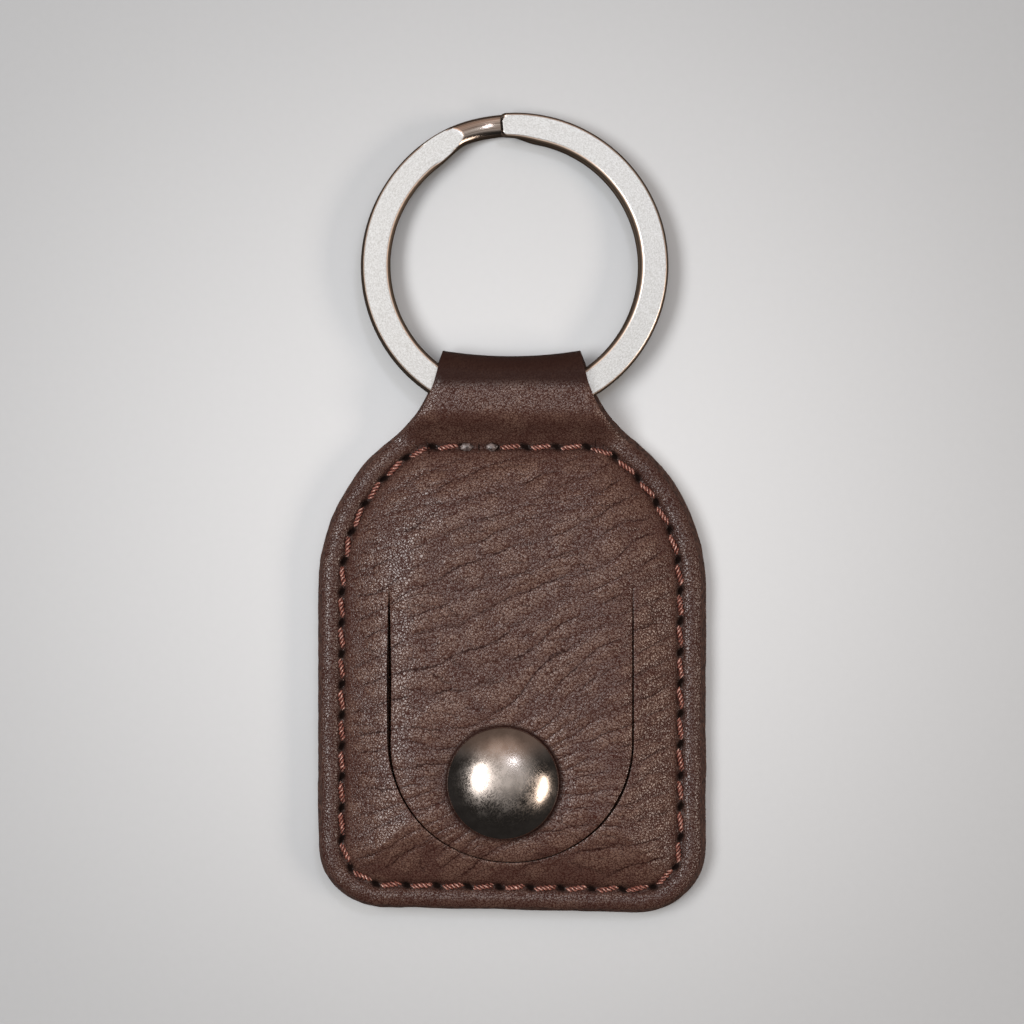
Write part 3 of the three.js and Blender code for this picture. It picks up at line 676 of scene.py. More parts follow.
def thicken(bm, thickness, keep_clear):
    """Gives a sheet its thickness, away from its outer face, and its inner face and cut edges their
    materials."""
    bmesh.ops.recalc_face_normals(bm, faces=bm.faces)
    highest = max(bm.faces, key=lambda face: face.calc_center_median().z)
    if highest.normal.z < 0:
        bmesh.ops.reverse_faces(bm, faces=bm.faces)
    bm.normal_update()
    step_layer = bm.verts.layers.float_vector["step"]
    for vert in bm.verts:
        vert[step_layer] = vert.normal * thickness(vert.co)
    geom = list(bm.verts) + list(bm.edges) + list(bm.faces)
    grown = bmesh.ops.extrude_face_region(bm, geom=geom, use_keep_orig=True)["geom"]
    inner = {element for element in grown if isinstance(element, bmesh.types.BMVert)}
    for vert in inner:
        step = vert[step_layer].copy()
        vert.co -= step
        keep_clear(vert, step)
    for face in bm.faces:
        inside = sum(vert in inner for vert in face.verts)
        face.material_index = 0 if inside == 0 else 1 if inside == len(face.verts) else 2
    bmesh.ops.recalc_face_normals(bm, faces=bm.faces)
    bm.verts.layers.float_vector.remove(step_layer)


def finish_piece(bm, name, materials, nodes, body=None, sharp=40):
    """The modelled piece as an object in metres, standing for its CAD nodes."""
    bmesh.ops.scale(bm, vec=(MM, MM, MM), verts=bm.verts)
    mesh = bpy.data.meshes.new(name)
    bm.to_mesh(mesh)
    bm.free()
    for material in materials:
        mesh.materials.append(material)
    mesh.shade_smooth()
    mesh.set_sharp_from_angle(angle=math.radians(sharp))
    piece = bpy.data.objects.new(name, mesh)
    bpy.context.scene.collection.objects.link(piece)
    if nodes:
        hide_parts(*nodes)
    if body:
        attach(piece, body)
    return piece


def edge_places(sides):
    """Where the leather's edge passes the flap's end, its fold line and the base of the neck."""
    left, right = ends_at(sides, NECK_BASE_Y)
    return [
        (-HALF_WIDTH, FLAP_ARC_Y),
        (HALF_WIDTH, FLAP_ARC_Y),
        (HALF_WIDTH, FOLD_Y),
        (right, NECK_BASE_Y),
        (left, NECK_BASE_Y),
        (-HALF_WIDTH, FOLD_Y),
    ]


def front_sheet(bm):
    """The front from the slit to its edges, up to the base of the neck."""
    counts = [200, 46, 92, NECK_COLUMNS, 92, 46]
    top_half = FLAP_TOP_SHARE * FLAP_HALF
    places = [
        (-FLAP_HALF, FLAP_ARC_Y),
        (FLAP_HALF, FLAP_ARC_Y),
        (FLAP_HALF, FOLD_Y),
        (top_half, FOLD_Y),
        (-top_half, FOLD_Y),
        (-FLAP_HALF, FOLD_Y),
    ]
    inner = stretches(dense(slit_loop(1), SLIT_SPACING), places, counts)
    outer = stretches(below_neck(front_sides), edge_places(front_sides), counts)
    sheet = sheet_between(bm, inner, outer, CUT_STEPS, middle_steps=22, outer_steps=EDGE_STEPS)
    raise_to(sheet, front_height)
    return sheet


def post_hole(outer, radius):
    """The hole of a rivet at the snap, with a point towards each point of the outer outline."""
    toward = outer - (SNAP_X, SNAP_Y)
    return toward / np.linalg.norm(toward, axis=1)[:, None] * radius + (SNAP_X, SNAP_Y)


def back_sheet(bm):
    """The back from its rivet hole to its edges, up to the base of the neck."""
    counts = [120, 30, 60, NECK_COLUMNS, 60, 30]
    outer = stretches(below_neck(back_sides), edge_places(back_sides), counts)
    inner = post_hole(outer, STUD_POST_HOLE)
    sheet = sheet_between(bm, inner, outer, SEAT_STEPS, middle_steps=14, outer_steps=EDGE_STEPS)
    raise_to(sheet, back_height)
    return sheet


def neck_sheet(bm):
    """The neck: up the front, over the fold and down the back."""
    front_y = np.linspace(NECK_BASE_Y, fold_start_y, NECK_FRONT_ROWS)
    turns = np.linspace(0, 1, FOLD_STEPS + 1)[1:-1]
    back_y = np.linspace(fold_start_y, NECK_BASE_Y, NECK_BACK_ROWS)
    rows = [(*ends_at(front_sides, y), y, None) for y in front_y]
    front_ends = np.array(ends_at(front_sides, fold_start_y))
    back_ends = np.array(ends_at(back_sides, fold_start_y))
    narrow = np.array((1, -1)) * (fold_half - NECK_TOP_HALF)
    for turn in turns:
        ends = front_ends + (back_ends - front_ends) * turn + narrow * math.sin(turn * math.pi)
        rows.append((*ends, fold_start_y, turn))
    rows += [(*ends_at(back_sides, y), y, 1) for y in back_y]
    last = len(rows) - 1
    sheet = bmesh.ops.create_grid(bm, x_segments=NECK_COLUMNS, y_segments=last, size=1)["verts"]
    flat = []
    for vert in sheet:
        share = (1 - vert.co.x) / 2
        left, right, y, turn = rows[round((vert.co.y + 1) / 2 * last)]
        vert.co.xy = (right + (left - right) * share, y)
        flat.append(turn)
    points = np.array([vert.co.xy for vert in sheet])
    for vert, turn, front, back in zip(sheet, flat, front_height(points), back_height(points)):
        if turn is None:
            vert.co.z = front
        elif turn == 1:
            vert.co.z = back
        else:
            bow = math.sin(turn * math.pi)
            hollow = FOLD_HOLLOW * ((vert.co.x / NECK_TOP_HALF) ** 2 - 0.5)
            vert.co.y += (FOLD_REACH + hollow) * bow
            vert.co.z = LOOP_HEIGHT / 2 * (1 + math.cos(turn * math.pi))
    return sheet


def leather_strip(materials):
    """Front with the flap's window, fold round the ring, and back, as one sheet of leather."""
    bm = leather_mesh()
    for sheet in (front_sheet, back_sheet, neck_sheet):
        mark_leather(bm, sheet(bm))
    bmesh.ops.remove_doubles(bm, verts=bm.verts, dist=MERGED)
    thicken(bm, strip_thickness, keep_layers_apart)
    nodes = ["front_panel", "neck_loop", "back_panel"]
    strip = finish_piece(bm, "leather_strip", materials, nodes)
    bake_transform(strip, "case", "ring", start=(0, (SEAM_Y + 1) * MM, 0), end=(0, NECK_TOP_Y * MM, 0))
    return strip


def strip_thickness(place):
    """Full thickness up to the seam, thinned towards the fold."""
    share = float(smooth((place.y - SEAM_Y) / THINNING_RUN))
    return LEATHER + (FOLD_LEATHER - LEATHER) * share


def keep_layers_apart(vert, step):
    """The inner faces of front and back meet at the border without passing through each other, and the
    pocket's floor stays level over the rivet's seat."""
    if vert.co.y > SEAM_Y:
        return
    if math.hypot(vert.co.x - SNAP_X, vert.co.y - SNAP_Y) < FLANGE_RADIUS + FLOOR_MARGIN:
        vert.co.xy += step.xy
    if step.z > 0:
        vert.co.z = max(vert.co.z, LEATHER + LAYER_GAP)
    else:
        vert.co.z = min(vert.co.z, LEATHER - LAYER_GAP)


def coin_flap(materials):
    """The flap inside the slit, which bends at its fold line."""
    bm = leather_mesh()
    counts = [150, 46, 66, 46]
    places = [(-FLAP_HALF, FLAP_ARC_Y), (FLAP_HALF, FLAP_ARC_Y), (FLAP_HALF, FOLD_Y), (-FLAP_HALF, FOLD_Y)]
    outer = stretches(dense(slit_loop(-1), SLIT_SPACING), places, counts)
    inner = post_hole(outer, CAP_POST_HOLE)
    flap = sheet_between(bm, inner, outer, CAP_STEPS, middle_steps=26, outer_steps=CUT_STEPS[::-1])
    raise_to(flap, front_height)
    mark_leather(bm, flap)
    thicken(bm, lambda place: LEATHER, lambda vert, step: None)
    piece = finish_piece(bm, "coin_flap_leather", materials, ["coin_flap"])
    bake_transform(piece, "case", "flap", start=(0, FOLD_Y * MM, 0), end=(0, (FOLD_Y - 3.5) * MM, 0))
    return piece


# Nodes and colours
EASED = {"interpolation_type": "SMOOTHSTEP"}
COLOURS = {"data_type": "RGBA"}


def hex_colour(code):
    """An sRGB hex colour as linear RGBA."""
    channels = [int(code[k : k + 2], 16) / 255 for k in (0, 2, 4)]
    linear = [c / 12.92 if c <= 0.04045 else ((c + 0.055) / 1.055) ** 2.4 for c in channels]
    return (*linear, 1.0)


def feed(socket, value):
    """Gives an input a number, a vector, an sRGB hex colour or the output of another node."""
    if isinstance(value, bpy.types.NodeSocket):
        socket.id_data.links.new(value, socket)
    else:
        socket.default_value = hex_colour(value) if isinstance(value, str) else value


def feed_named(made, **values):
    """Feeds the inputs of a node by their names."""
    for name, value in values.items():
        feed(made.inputs[name.replace("_", " ")], value)


def add(tree, kind, *values, out=None, **settings):
    """Adds a node with its settings and links, and gives its first output in use, or the one named. Values
    feed the inputs in use, in their order; a setting that has the name of an input feeds that one."""
    made = tree.nodes.new("ShaderNode" + kind)
    named = {name: value for name, value in settings.items() if name in made.inputs}
    for name, value in settings.items():
        if name not in named:
            setattr(made, name, value)
    for socket, value in zip([socket for socket in made.inputs if socket.enabled], values):
        feed(socket, value)
    feed_named(made, **named)
    return made.outputs[out] if out else next(socket for socket in made.outputs if socket.enabled)


def new_material(name):
    """A material, its shader and the function that adds a node to it."""
    material = bpy.data.materials.new(name)
    material.use_nodes = True
    tree = material.node_tree
    return material, tree.nodes["Principled BSDF"], partial(add, tree)


def place_in_mm(node):
    """Object coordinates in millimetres."""
    return node("VectorMath", node("TexCoord", out="Object"), 1 / MM, operation="SCALE")


# Materials
def pebbles(node, place, size, astray):
    """Crooked cells of this size, their edges led astray by some more: 0 on an edge, 1 inside."""
    swirl = node("TexNoise", place, 0.6 / size, out="Color")
    led = node("VectorMath", swirl, (astray,) * 3, place, operation="MULTIPLY_ADD")
    cells = node("TexVoronoi", led, 1 / size, feature="DISTANCE_TO_EDGE")
    return node("MapRange", cells, 0.0, 0.26, **EASED)


def grained_leather():
    """Chrome-tanned cow leather with a fine grain, in a dark brown dye and waxed: a close grain that
    sparkles, thin reddish creases that run slantwise, and needle holes along the seam. Painted shade
    darkens the grain's valleys, the creases, the needle holes, the fold's top, the seam and the neck's
    root, and a painted shadow lies round the cap."""
    material, shader, node = new_material("grained_leather")
    place = place_in_mm(node)
    height = node("SeparateXYZ", place, out="Y")
    level = height.node.outputs["Z"]
    lay = node("Attribute", attribute_name="lay", out="Vector")
    row = node("Attribute", attribute_name="row", out="Fac")
    past = node("Attribute", attribute_name="past_hole", out="Fac")
    # Over the top of the fold: the leather is stretched there, finer grained and duller, and painted shade
    # darkens it
    fold_stretch_and_shade = node("MapRange", height, fold_start_y - 1.3, fold_start_y + 0.2, **EASED)
    inside = node("MapRange", row, 0.3, 2.5, 0.2, 1.0, **EASED)

    def off_crease(apart, length, width, bend, turn=0):
        """Distance in millimetres from the nearest of many lines along the lay, or turned from it by some
        degrees, each bent out of its way."""
        own_lay = node("Mapping", lay, Rotation=(0, 0, math.radians(turn)))
        drawn = node("Mapping", own_lay, Scale=(1 / length, 1 / width, 0.2))
        across = node("SeparateXYZ", own_lay, out="Y")
        bent = node("Math", node("TexNoise", drawn, 1.0), bend, across, operation="MULTIPLY_ADD")
        jags = node("TexNoise", place, 1 / CREASE_JAG)
        jagged = node("Math", jags, 0.45, bent, operation="MULTIPLY_ADD")
        return node("Math", jagged, apart / 2, operation="PINGPONG")

    def creased_patches(size, low, high):
        """Where the leather creases: patches of this size, fewer on the border."""
        patches = node("MapRange", node("TexNoise", place, 1 / size), low, high, **EASED)
        return node("Math", patches, inside, operation="MULTIPLY")

    def beside_lines(lines, zero, one, patches):
        """A pattern from 0 at one distance from the lines to 1 at another, in these patches."""
        return node("Math", node("MapRange", lines, zero, one, **EASED), patches, operation="MULTIPLY")

    # Creases: long ones along the lay, short ones between, and some across
    long_lines = off_crease(apart=2.3, length=8.0, width=4.5, bend=3.0)
    short_lines = off_crease(apart=1.1, length=4.0, width=2.5, bend=1.5, turn=14)
    cross_lines = off_crease(apart=4.2, length=6.0, width=4.0, bend=3.0, turn=68)
    long_patches = creased_patches(3.0, 0.34, 0.58)
    short_patches = creased_patches(2.0, 0.38, 0.66)
    cross_patches = creased_patches(2.5, 0.52, 0.66)
    short_creases = beside_lines(short_lines, 0.13, 0.02, short_patches)
    cross_creases = beside_lines(cross_lines, 0.14, 0.03, cross_patches)
    lesser = node("Math", short_creases, cross_creases, operation="MAXIMUM")
    lesser = node("Math", lesser, 0.65, operation="MULTIPLY")
    creases = beside_lines(long_lines, 0.15, 0.03, long_patches)
    creases = node("Math", creases, lesser, operation="MAXIMUM")

    # Grain
    fine = node("Math", node("TexNoise", place, 1 / FINE_GRAIN), 0.75, operation="MULTIPLY")
    grain = pebbles(node, place, PEBBLE, PEBBLE_ASTRAY)
    grain = node("Math", grain, 0.35, fine, operation="MULTIPLY_ADD")
    tops = node("MapRange", grain, 0.2, 0.85, **EASED)

    # Colour: paler on the grain's tops; painted shade in its valleys, in creases, over the fold, along the
    # seam and on the neck's root; a painted shadow round the cap; and the border outside the stitches darker
    # Lighter between the long creases: painted light on the swells there, and partly their burnish
    lit_ridges = beside_lines(long_lines, 0.1, 1.0, long_patches)
    clouds = node("TexNoise", place, 1 / LEATHER_CLOUD)
    clouds = node("Math", lit_ridges, 0.3, clouds, operation="MULTIPLY_ADD")
    body = node("Mix", node("MapRange", clouds, 0.3, 0.9, **EASED), "5a3f36", "74584b", **COLOURS)
    # Darker in the grain's valleys, paler on its tops: partly the grain's own tone, partly painted shade in
    # the valleys
    dyed_and_shaded = node("Mix", tops, "381d18", body, **COLOURS)
    # Painted shade in the creases, less on the grain's tops
    unbroken = node("MapRange", tops, 0.0, 1.0, 1.0, 0.6, **EASED)
    dyed_and_shaded = node("Mix", node("Math", creases, unbroken, operation="MULTIPLY"), dyed_and_shaded, "27120e", **COLOURS)
    # Painted shade over the top of the fold
    dyed_and_shaded = node("Mix", node("Math", fold_stretch_and_shade, 0.85, operation="MULTIPLY"), dyed_and_shaded, "281814", **COLOURS)
    # Painted shadow along the stitch row, in the seam's groove
    from_row = node("Math", row, operation="ABSOLUTE")
    groove = node("MapRange", from_row, 0.8, 0.25, 0.0, 0.6, **EASED)
    # Darker outside the stitch row, and painted shade on the neck's root just above the seam
    outside = node("MapRange", row, 0.0, -0.5, 0.0, 0.3, **EASED)
    under_neck = node("MapRange", height, SEAM_Y + 2.4, SEAM_Y + 1.0, **EASED)
    border = node("Math", outside, under_neck, operation="MULTIPLY")
    # Painted contact shadow round the cap's foot, on the front's face only
    flat_place = node("VectorMath", place, (1, 1, 0), operation="MULTIPLY")
    from_snap = node("VectorMath", flat_place, (SNAP_X, SNAP_Y, 0), operation="DISTANCE")
    under_cap = node("MapRange", from_snap, CAP_RADIUS + 0.6, CAP_RADIUS, 0.0, 0.9, **EASED)
    in_front = node("MapRange", level, LEATHER, 2 * LEATHER, **EASED)
    pressed = node("Math", under_cap, in_front, operation="MULTIPLY")
    # All these darkenings together: painted shade and shadow, and the darker border
    darkened = node("Math", groove, border, operation="MAXIMUM")
    darkened = node("Math", pressed, darkened, operation="MAXIMUM")
    dyed_and_shaded = node("Mix", darkened, dyed_and_shaded, "2b1915", **COLOURS)

    # Needle holes, painted near black as the shade inside them
    turn = (0, 0, math.radians(HOLE_SLANT))
    size = (HOLE_LENGTH, HOLE_WIDTH, 1)
    from_hole = node("CombineXYZ", past, row)
    from_hole = node("Mapping", from_hole, Rotation=turn, Scale=size, vector_type="TEXTURE")
    from_hole = node("VectorMath", from_hole, operation="LENGTH")
    ragged = node("Math", node("TexNoise", place, 1 / HOLE_RAG), from_hole, operation="ADD")
    hole = node("MapRange", ragged, 1.9, 0.9, **EASED)

    # Relief in millimetres: leather swells between its creases
    long_depth = node("Math", long_patches, 0.075, operation="MULTIPLY")
    short_depth = node("Math", short_patches, 0.04, operation="MULTIPLY")
    between = node("MapRange", short_lines, 0.0, 0.4, **EASED)
    pillows = beside_lines(long_lines, 0.0, 0.8, long_depth)
    pillows = node("Math", between, short_depth, pillows, operation="MULTIPLY_ADD")
    grain_depth = node("MapRange", fold_stretch_and_shade, 0.0, 1.0, 0.05, 0.02, **EASED)
    relief = node("Math", grain, grain_depth, pillows, operation="MULTIPLY_ADD")

    # Wax gleams on the tops of the grain alone
    dull = node("MapRange", tops, 0.15, 0.9, 0.85, 0.0, **EASED)
    dull_fold = node("Math", fold_stretch_and_shade, 0.82, operation="MULTIPLY")
    dull_creases = node("Math", creases, 0.7, operation="MULTIPLY")
    for dull_part in (hole, dull_fold, groove, pressed, dull_creases):
        dull = node("Math", dull, dull_part, operation="MAXIMUM")
    feed_named(
        shader,
        # Needle holes painted near black: painted shade
        Base_Color=node("Mix", hole, dyed_and_shaded, "17100e", **COLOURS),
        Roughness=node("MapRange", grain, 0.4, 0.75, 0.45, 0.26, **EASED),
        Specular_IOR_Level=node("MapRange", dull, 0.0, 1.0, 0.75, 0.0, **EASED),
        IOR=1.48,
        Normal=node("Bump", 1.0, MM, Height=relief),
    )
    return material


def suede_side():
    """Flesh side of the leather, sueded: a short dull nap, a little lighter than the grain side."""
    material, shader, node = new_material("leather_flesh_side")
    place = place_in_mm(node)
    nap = node("TexNoise", place, 1 / NAP, 5.0)
    tone = node("Math", node("TexNoise", place, 1 / LEATHER_CLOUD, 3.0), 0.35, nap, operation="MULTIPLY_ADD")
    relief = node("Math", nap, 0.07, operation="MULTIPLY")
    feed_named(
        shader,
        Base_Color=node("Mix", node("MapRange", tone, 0.45, 0.9, **EASED), "4d3228", "765443", **COLOURS),
        Roughness=0.9,
        IOR=1.45,
        Sheen_Weight=0.25,
        Normal=node("Bump", 1.0, MM, Height=relief),
    )
    return material


def raw_edge():
    """Cut edge of the leather, left raw: packed brown fibres in thin layers, redder than the face."""
    material, shader, node = new_material("leather_cut_edge")
    layers = node("Mapping", place_in_mm(node), Scale=(1, 1, FIBRE_LAYERS))
    fibres = node("TexNoise", layers, 1 / FIBRE, 5.0)
    relief = node("Math", fibres, 0.08, operation="MULTIPLY")
    feed_named(
        shader,
        Base_Color=node("Mix", node("MapRange", fibres, 0.35, 0.7, **EASED), "2f1d18", "5f4237", **COLOURS),
        Roughness=0.75,
        IOR=1.45,
        Normal=node("Bump", 1.0, MM, Height=relief),
    )
    return material


def twisted_thread():
    """Bonded polyester thread of three strands, rust coloured, with painted light: a painted highlight and
    painted glints on the crests on top, and painted shade in the grooves between and on the sides."""
    material, shader, node = new_material("twisted_thread")
    place = place_in_mm(node)
    crest = node("Attribute", attribute_name="crest", out="Fac")
    top_highlight = node("Attribute", attribute_name="top_highlight", out="Fac")
    fuzz = node("TexNoise", place, 1 / FUZZ, 3.0)
    # Painted shade: darker in the grooves between strands and on the sides; a painted highlight on top
    shade = node("Math", fuzz, 0.9, crest, operation="MULTIPLY_ADD")
    shade = node("Math", top_highlight, 0.8, shade, operation="MULTIPLY_ADD")
    strand = node("Mix", node("MapRange", shade, 0.8, 2.1, **EASED), "35120e", "8f5547", **COLOURS)
    # Painted glints: pale spots on the crests on top
    painted_glints = node("Math", node("TexNoise", place, 1 / GLINT_SPOT), crest, operation="MULTIPLY")
    painted_glints = node("Math", painted_glints, top_highlight, operation="MULTIPLY")
    relief = node("Math", fuzz, 0.015, operation="MULTIPLY")
    feed_named(
        shader,
        Base_Color=node("Mix", node("MapRange", painted_glints, 0.36, 0.56, **EASED), strand, "e6c0b0", **COLOURS),
        Roughness=0.5,
        IOR=1.5,
        Normal=node("Bump", 1.0, MM, Height=relief),
    )
    return material


def melted_thread():
    """Thread ends sealed with a flame: hard grey beads of melted polyester."""
    material, shader, node = new_material("melted_thread_ends")
    soot = node("TexNoise", place_in_mm(node), 1 / SOOT, 4.0)
    relief = node("Math", soot, 0.05, operation="MULTIPLY")
    feed_named(
        shader,
        Base_Color=node("Mix", node("MapRange", soot, 0.3, 0.7, **EASED), "2b211f", "7a6c68", **COLOURS),
        Roughness=0.35,
        IOR=1.55,
        Normal=node("Bump", 1.0, MM, Height=relief),
    )
    return material


def plated_metal(name, dark, light, roughness, scuff):
    """Nickel plate over pressed brass, polished and then handled: hairlines and specks that blur its mirror,
    most of all on the crown."""
    material, shader, node = new_material(name)
    place = place_in_mm(node)
    clouds = node("TexNoise", place, 1 / PLATE_CLOUD, 5.0)
    marks = node("TexNoise", place, 1 / PLATE_SPECK)
    for degrees in HAIRLINE_TURNS:
        turn = (0, 0, math.radians(degrees))
        drawn = node("Mapping", place, Rotation=turn, Scale=(HAIRLINE_STRETCH, 1, 1), vector_type="TEXTURE")
        marks = node("Math", marks, node("TexNoise", drawn, 1 / HAIRLINE, 1.0), operation="MAXIMUM")
    from_axis = node("VectorMath", place, (SNAP_X, SNAP_Y, CAP_FLOOR), operation="DISTANCE")
    crown = node("MapRange", from_axis, 0.95 * CAP_RADIUS, 0.45 * CAP_RADIUS, 0.25, 1.0, **EASED)
    worn = node("Math", clouds, 0.3, marks, operation="MULTIPLY_ADD")
    worn = node("MapRange", worn, 0.6, 0.86, 0.0, scuff, **EASED)
    relief = node("Math", marks, 0.002, operation="MULTIPLY")
    feed_named(
        shader,
        Base_Color=node("Mix", node("MapRange", clouds, 0.35, 0.65, **EASED), dark, light, **COLOURS),
        Roughness=node("Math", worn, crown, roughness, operation="MULTIPLY_ADD"),
        Metallic=1.0,
        Normal=node("Bump", 1.0, MM, Height=relief),
    )
    return material


def satin_steel():
    """Steel wire with its flats ground and tumbled satin, bright with fine lines along the wire. Its step
    keeps the darker surface of the drawn wire, striped along it. Its round sides are painted dull brown as
    shade, with a painted highlight along their edge by the flats."""
    material, shader, node = new_material("satin_steel")
    wound = node("UVMap", uv_map="wire")
    brushed = node("Mapping", wound, Scale=(BRUSHING_STRETCH, 1, 1))
    drawn = node("Mapping", wound, Scale=(DRAWN_STRETCH, 1, 1))
    lines = node("TexNoise", brushed, 1 / BRUSHING)
    stripes = node("TexNoise", drawn, 1 / DRAWN_STRIPE)
    tumbled = node("TexNoise", place_in_mm(node), 1 / TUMBLED)
    cut = node("Attribute", attribute_name="cut", out="Fac")
    ground = node("MapRange", cut, -0.04, -0.01, **EASED)
    # Along the edge by the flats: where a painted highlight goes
    rim_highlight = node("MapRange", cut, -0.09, -0.03, **EASED)
    off_face = node("Math", node("SeparateXYZ", wound, out="Y"), RING_FACE_MIDDLE, operation="SUBTRACT")
    off_face = node("Math", off_face, operation="ABSOLUTE")
    side = node("MapRange", off_face, 2.0, 2.3, **EASED)
    satin = node("Math", lines, tumbled, operation="ADD")
    satin = node("Mix", node("MapRange", satin, 0.7, 1.3, **EASED), "bfbcb8", "dcdad8", **COLOURS)
    skin_and_painted_light = node("Mix", node("MapRange", stripes, 0.35, 0.65, **EASED), "7d6d62", "b3a69c", **COLOURS)
    # Round sides painted dull dark brown: painted shade
    skin_and_painted_light = node("Mix", side, skin_and_painted_light, "64564b", **COLOURS)
    # A painted highlight along the edge by the flats
    skin_and_painted_light = node("Mix", rim_highlight, skin_and_painted_light, "ecd3bf", **COLOURS)
    skin_roughness = node("MapRange", side, 0.0, 1.0, 0.15, 0.62, **EASED)
    stripe_depth = node("MapRange", ground, 0.0, 1.0, 0.004, 0.0, **EASED)
    relief = node("Math", lines, 0.001, operation="MULTIPLY")
    relief = node("Math", stripes, stripe_depth, relief, operation="MULTIPLY_ADD")
    feed_named(
        shader,
        Base_Color=node("Mix", ground, skin_and_painted_light, satin, **COLOURS),
        Roughness=node("Mix", ground, skin_roughness, 0.32),
        Metallic=1.0,
        Normal=node("Bump", 1.0, MM, Height=relief),
    )
    return material


# Sewing
def twisted_cord():
    """A straight length of twisted strands along X, one stitch long."""
    bm = bmesh.new()
    crest = bm.verts.layers.float.new("crest")
    twist = 2 * math.pi * STITCH_LENGTH / TWIST_LENGTH
    for k in range(STRANDS):
        turn = 2 * math.pi * k / STRANDS
        circle = bmesh.ops.create_circle(bm, cap_ends=True, segments=STRAND_SIDES, radius=STRAND_RADIUS)
        made = circle["verts"]
        out = Vector((-STITCH_LENGTH / 2, STRAND_OFFSET * math.cos(turn), STRAND_OFFSET * math.sin(turn)))
        stand = Matrix.Translation(out) @ Matrix.Rotation(math.pi / 2, 4, "Y")
        bmesh.ops.transform(bm, matrix=stand, verts=made)
        bmesh.ops.spin(
            bm, geom=[face for face in bm.faces if face.verts[0] in made], cent=(0, 0, 0), axis=(1, 0, 0),
            dvec=(STITCH_LENGTH / STRAND_STEPS, 0, 0), angle=twist, steps=STRAND_STEPS,
        )
    bmesh.ops.recalc_face_normals(bm, faces=bm.faces)
    beside = STRAND_OFFSET * math.sin(math.pi / STRANDS)
    groove = STRAND_OFFSET * math.cos(math.pi / STRANDS) + math.sqrt(STRAND_RADIUS**2 - beside**2)
    # How far out from the grooves between strands each point lies; the thread's painted shade follows it
    for vert in bm.verts:
        out = math.hypot(vert.co.y, vert.co.z) - groove
        vert[crest] = max(out / (STRAND_OFFSET + STRAND_RADIUS - groove), 0)
    cord = bpy.data.meshes.new("twisted_cord")
    bm.to_mesh(cord)
    bm.free()
    return cord


def add_stitch(bm, cord, start, end, level, upward):
    """One stitch from one needle hole to the next, a little askew, its ends drawn into the holes."""
    first = len(bm.verts)
    bm.from_mesh(cord)
    bm.verts.ensure_lookup_table()
    made = bm.verts[first:]
    roll = Matrix.Rotation(random.uniform(0, 2 * math.pi), 3, "X")
    bmesh.ops.rotate(bm, verts=made, cent=(0, 0, 0), matrix=roll)
    lift = random.uniform(*STITCH_LIFT)
    slant = math.radians(STITCH_SLANT * upward + random.uniform(-STITCH_ASKEW, STITCH_ASKEW))
    run = end - start
    heading = math.atan2(run[1], run[0]) + slant
    middle = (start + end) / 2
    c, s = math.cos(heading), math.sin(heading)
    top_highlight = bm.verts.layers.float["top_highlight"]
    for vert in made:
        x, y, z = vert.co
        # How high on the cord the point lies, for the thread's painted highlight on top
        vert[top_highlight] = max(z / (STRAND_OFFSET + STRAND_RADIUS), 0)
        sink = max(abs(x) / (STITCH_LENGTH / 2) - STITCH_FLAT, 0) / (1 - STITCH_FLAT)
        z = (z + STITCH_STAND - STITCH_SINK * sink**STITCH_DIVE + lift) * upward
        vert.co = (middle[0] + x * c - y * s, middle[1] + x * s + y * c, level + z)
        fuzz = noise.noise_vector(vert.co * FUZZ_WAVES) * STITCH_FUZZ
        vert.co += fuzz + noise.noise_vector(vert.co * RAVEL_WAVES) * STITCH_RAVEL


def sewing(name, node, level, upward, material):
    """All the stitches on the front (upward 1) or on the back (upward -1), except the open one."""
    bm = bmesh.new()
    bm.verts.layers.float.new("crest")
    # For the thread's painted highlight on top
    bm.verts.layers.float.new("top_highlight")
    cord = twisted_cord()
    places = along_line(stitch_row, (np.arange(stitch_count) + 0.5) * stitch_pitch)
    for start, end in zip(places, places[1:]):
        add_stitch(bm, cord, start, end, level, upward)
    if upward < 0:
        bmesh.ops.reverse_faces(bm, faces=bm.faces)
    bpy.data.meshes.remove(cord)
    return finish_piece(bm, name, [material], [node], "case")


def melted_ends(material):
    """Two sealed thread ends beside the open stitch."""
    bm = bmesh.new()
    for along, half_length in BEADS:
        made = bmesh.ops.create_icosphere(bm, subdivisions=3, radius=1)["verts"]
        for vert in made:
            swell = 1 + BEAD_LUMPS * noise.noise(vert.co * BEAD_LUMP_WAVES + Vector((along * 9, 4, 0)))
            x, y, z = vert.co
            vert.co = Vector((x * half_length, y * BEAD_HALF_WIDTH, z * BEAD_HALF_HEIGHT)) * swell
        level = BORDER_TOP - SEAM_DIP + BEAD_STAND
        place = Vector((THREAD_GAP_X - along * stitch_pitch, SEAM_Y - ROW_TO_SEAM, level))
        bmesh.ops.translate(bm, vec=place, verts=made)
    return finish_piece(bm, "melted_thread_ends", [material], [], "case")


# Turned snap pieces
def turned(name, node, profile, body, slot, material, closed=True):
    """A profile of (radius, height) turned about the snap's axis. One that isn't closed ends on the axis."""
    bm = bmesh.new()
    verts = [bm.verts.new((SNAP_X + radius, SNAP_Y, height)) for radius, height in profile]
    edges = [bm.edges.new(pair) for pair in zip(verts, verts[1:] + verts[:1] if closed else verts[1:])]
    bmesh.ops.spin(
        bm, geom=verts + edges, cent=(SNAP_X, SNAP_Y, 0), axis=(0, 0, 1), angle=2 * math.pi, steps=SNAP_STEPS,
        use_merge=True,
    )
    bmesh.ops.remove_doubles(bm, verts=bm.verts, dist=1e-4)
    bmesh.ops.recalc_face_normals(bm, faces=bm.faces)
    return finish_piece(bm, name, [material], [node], body)


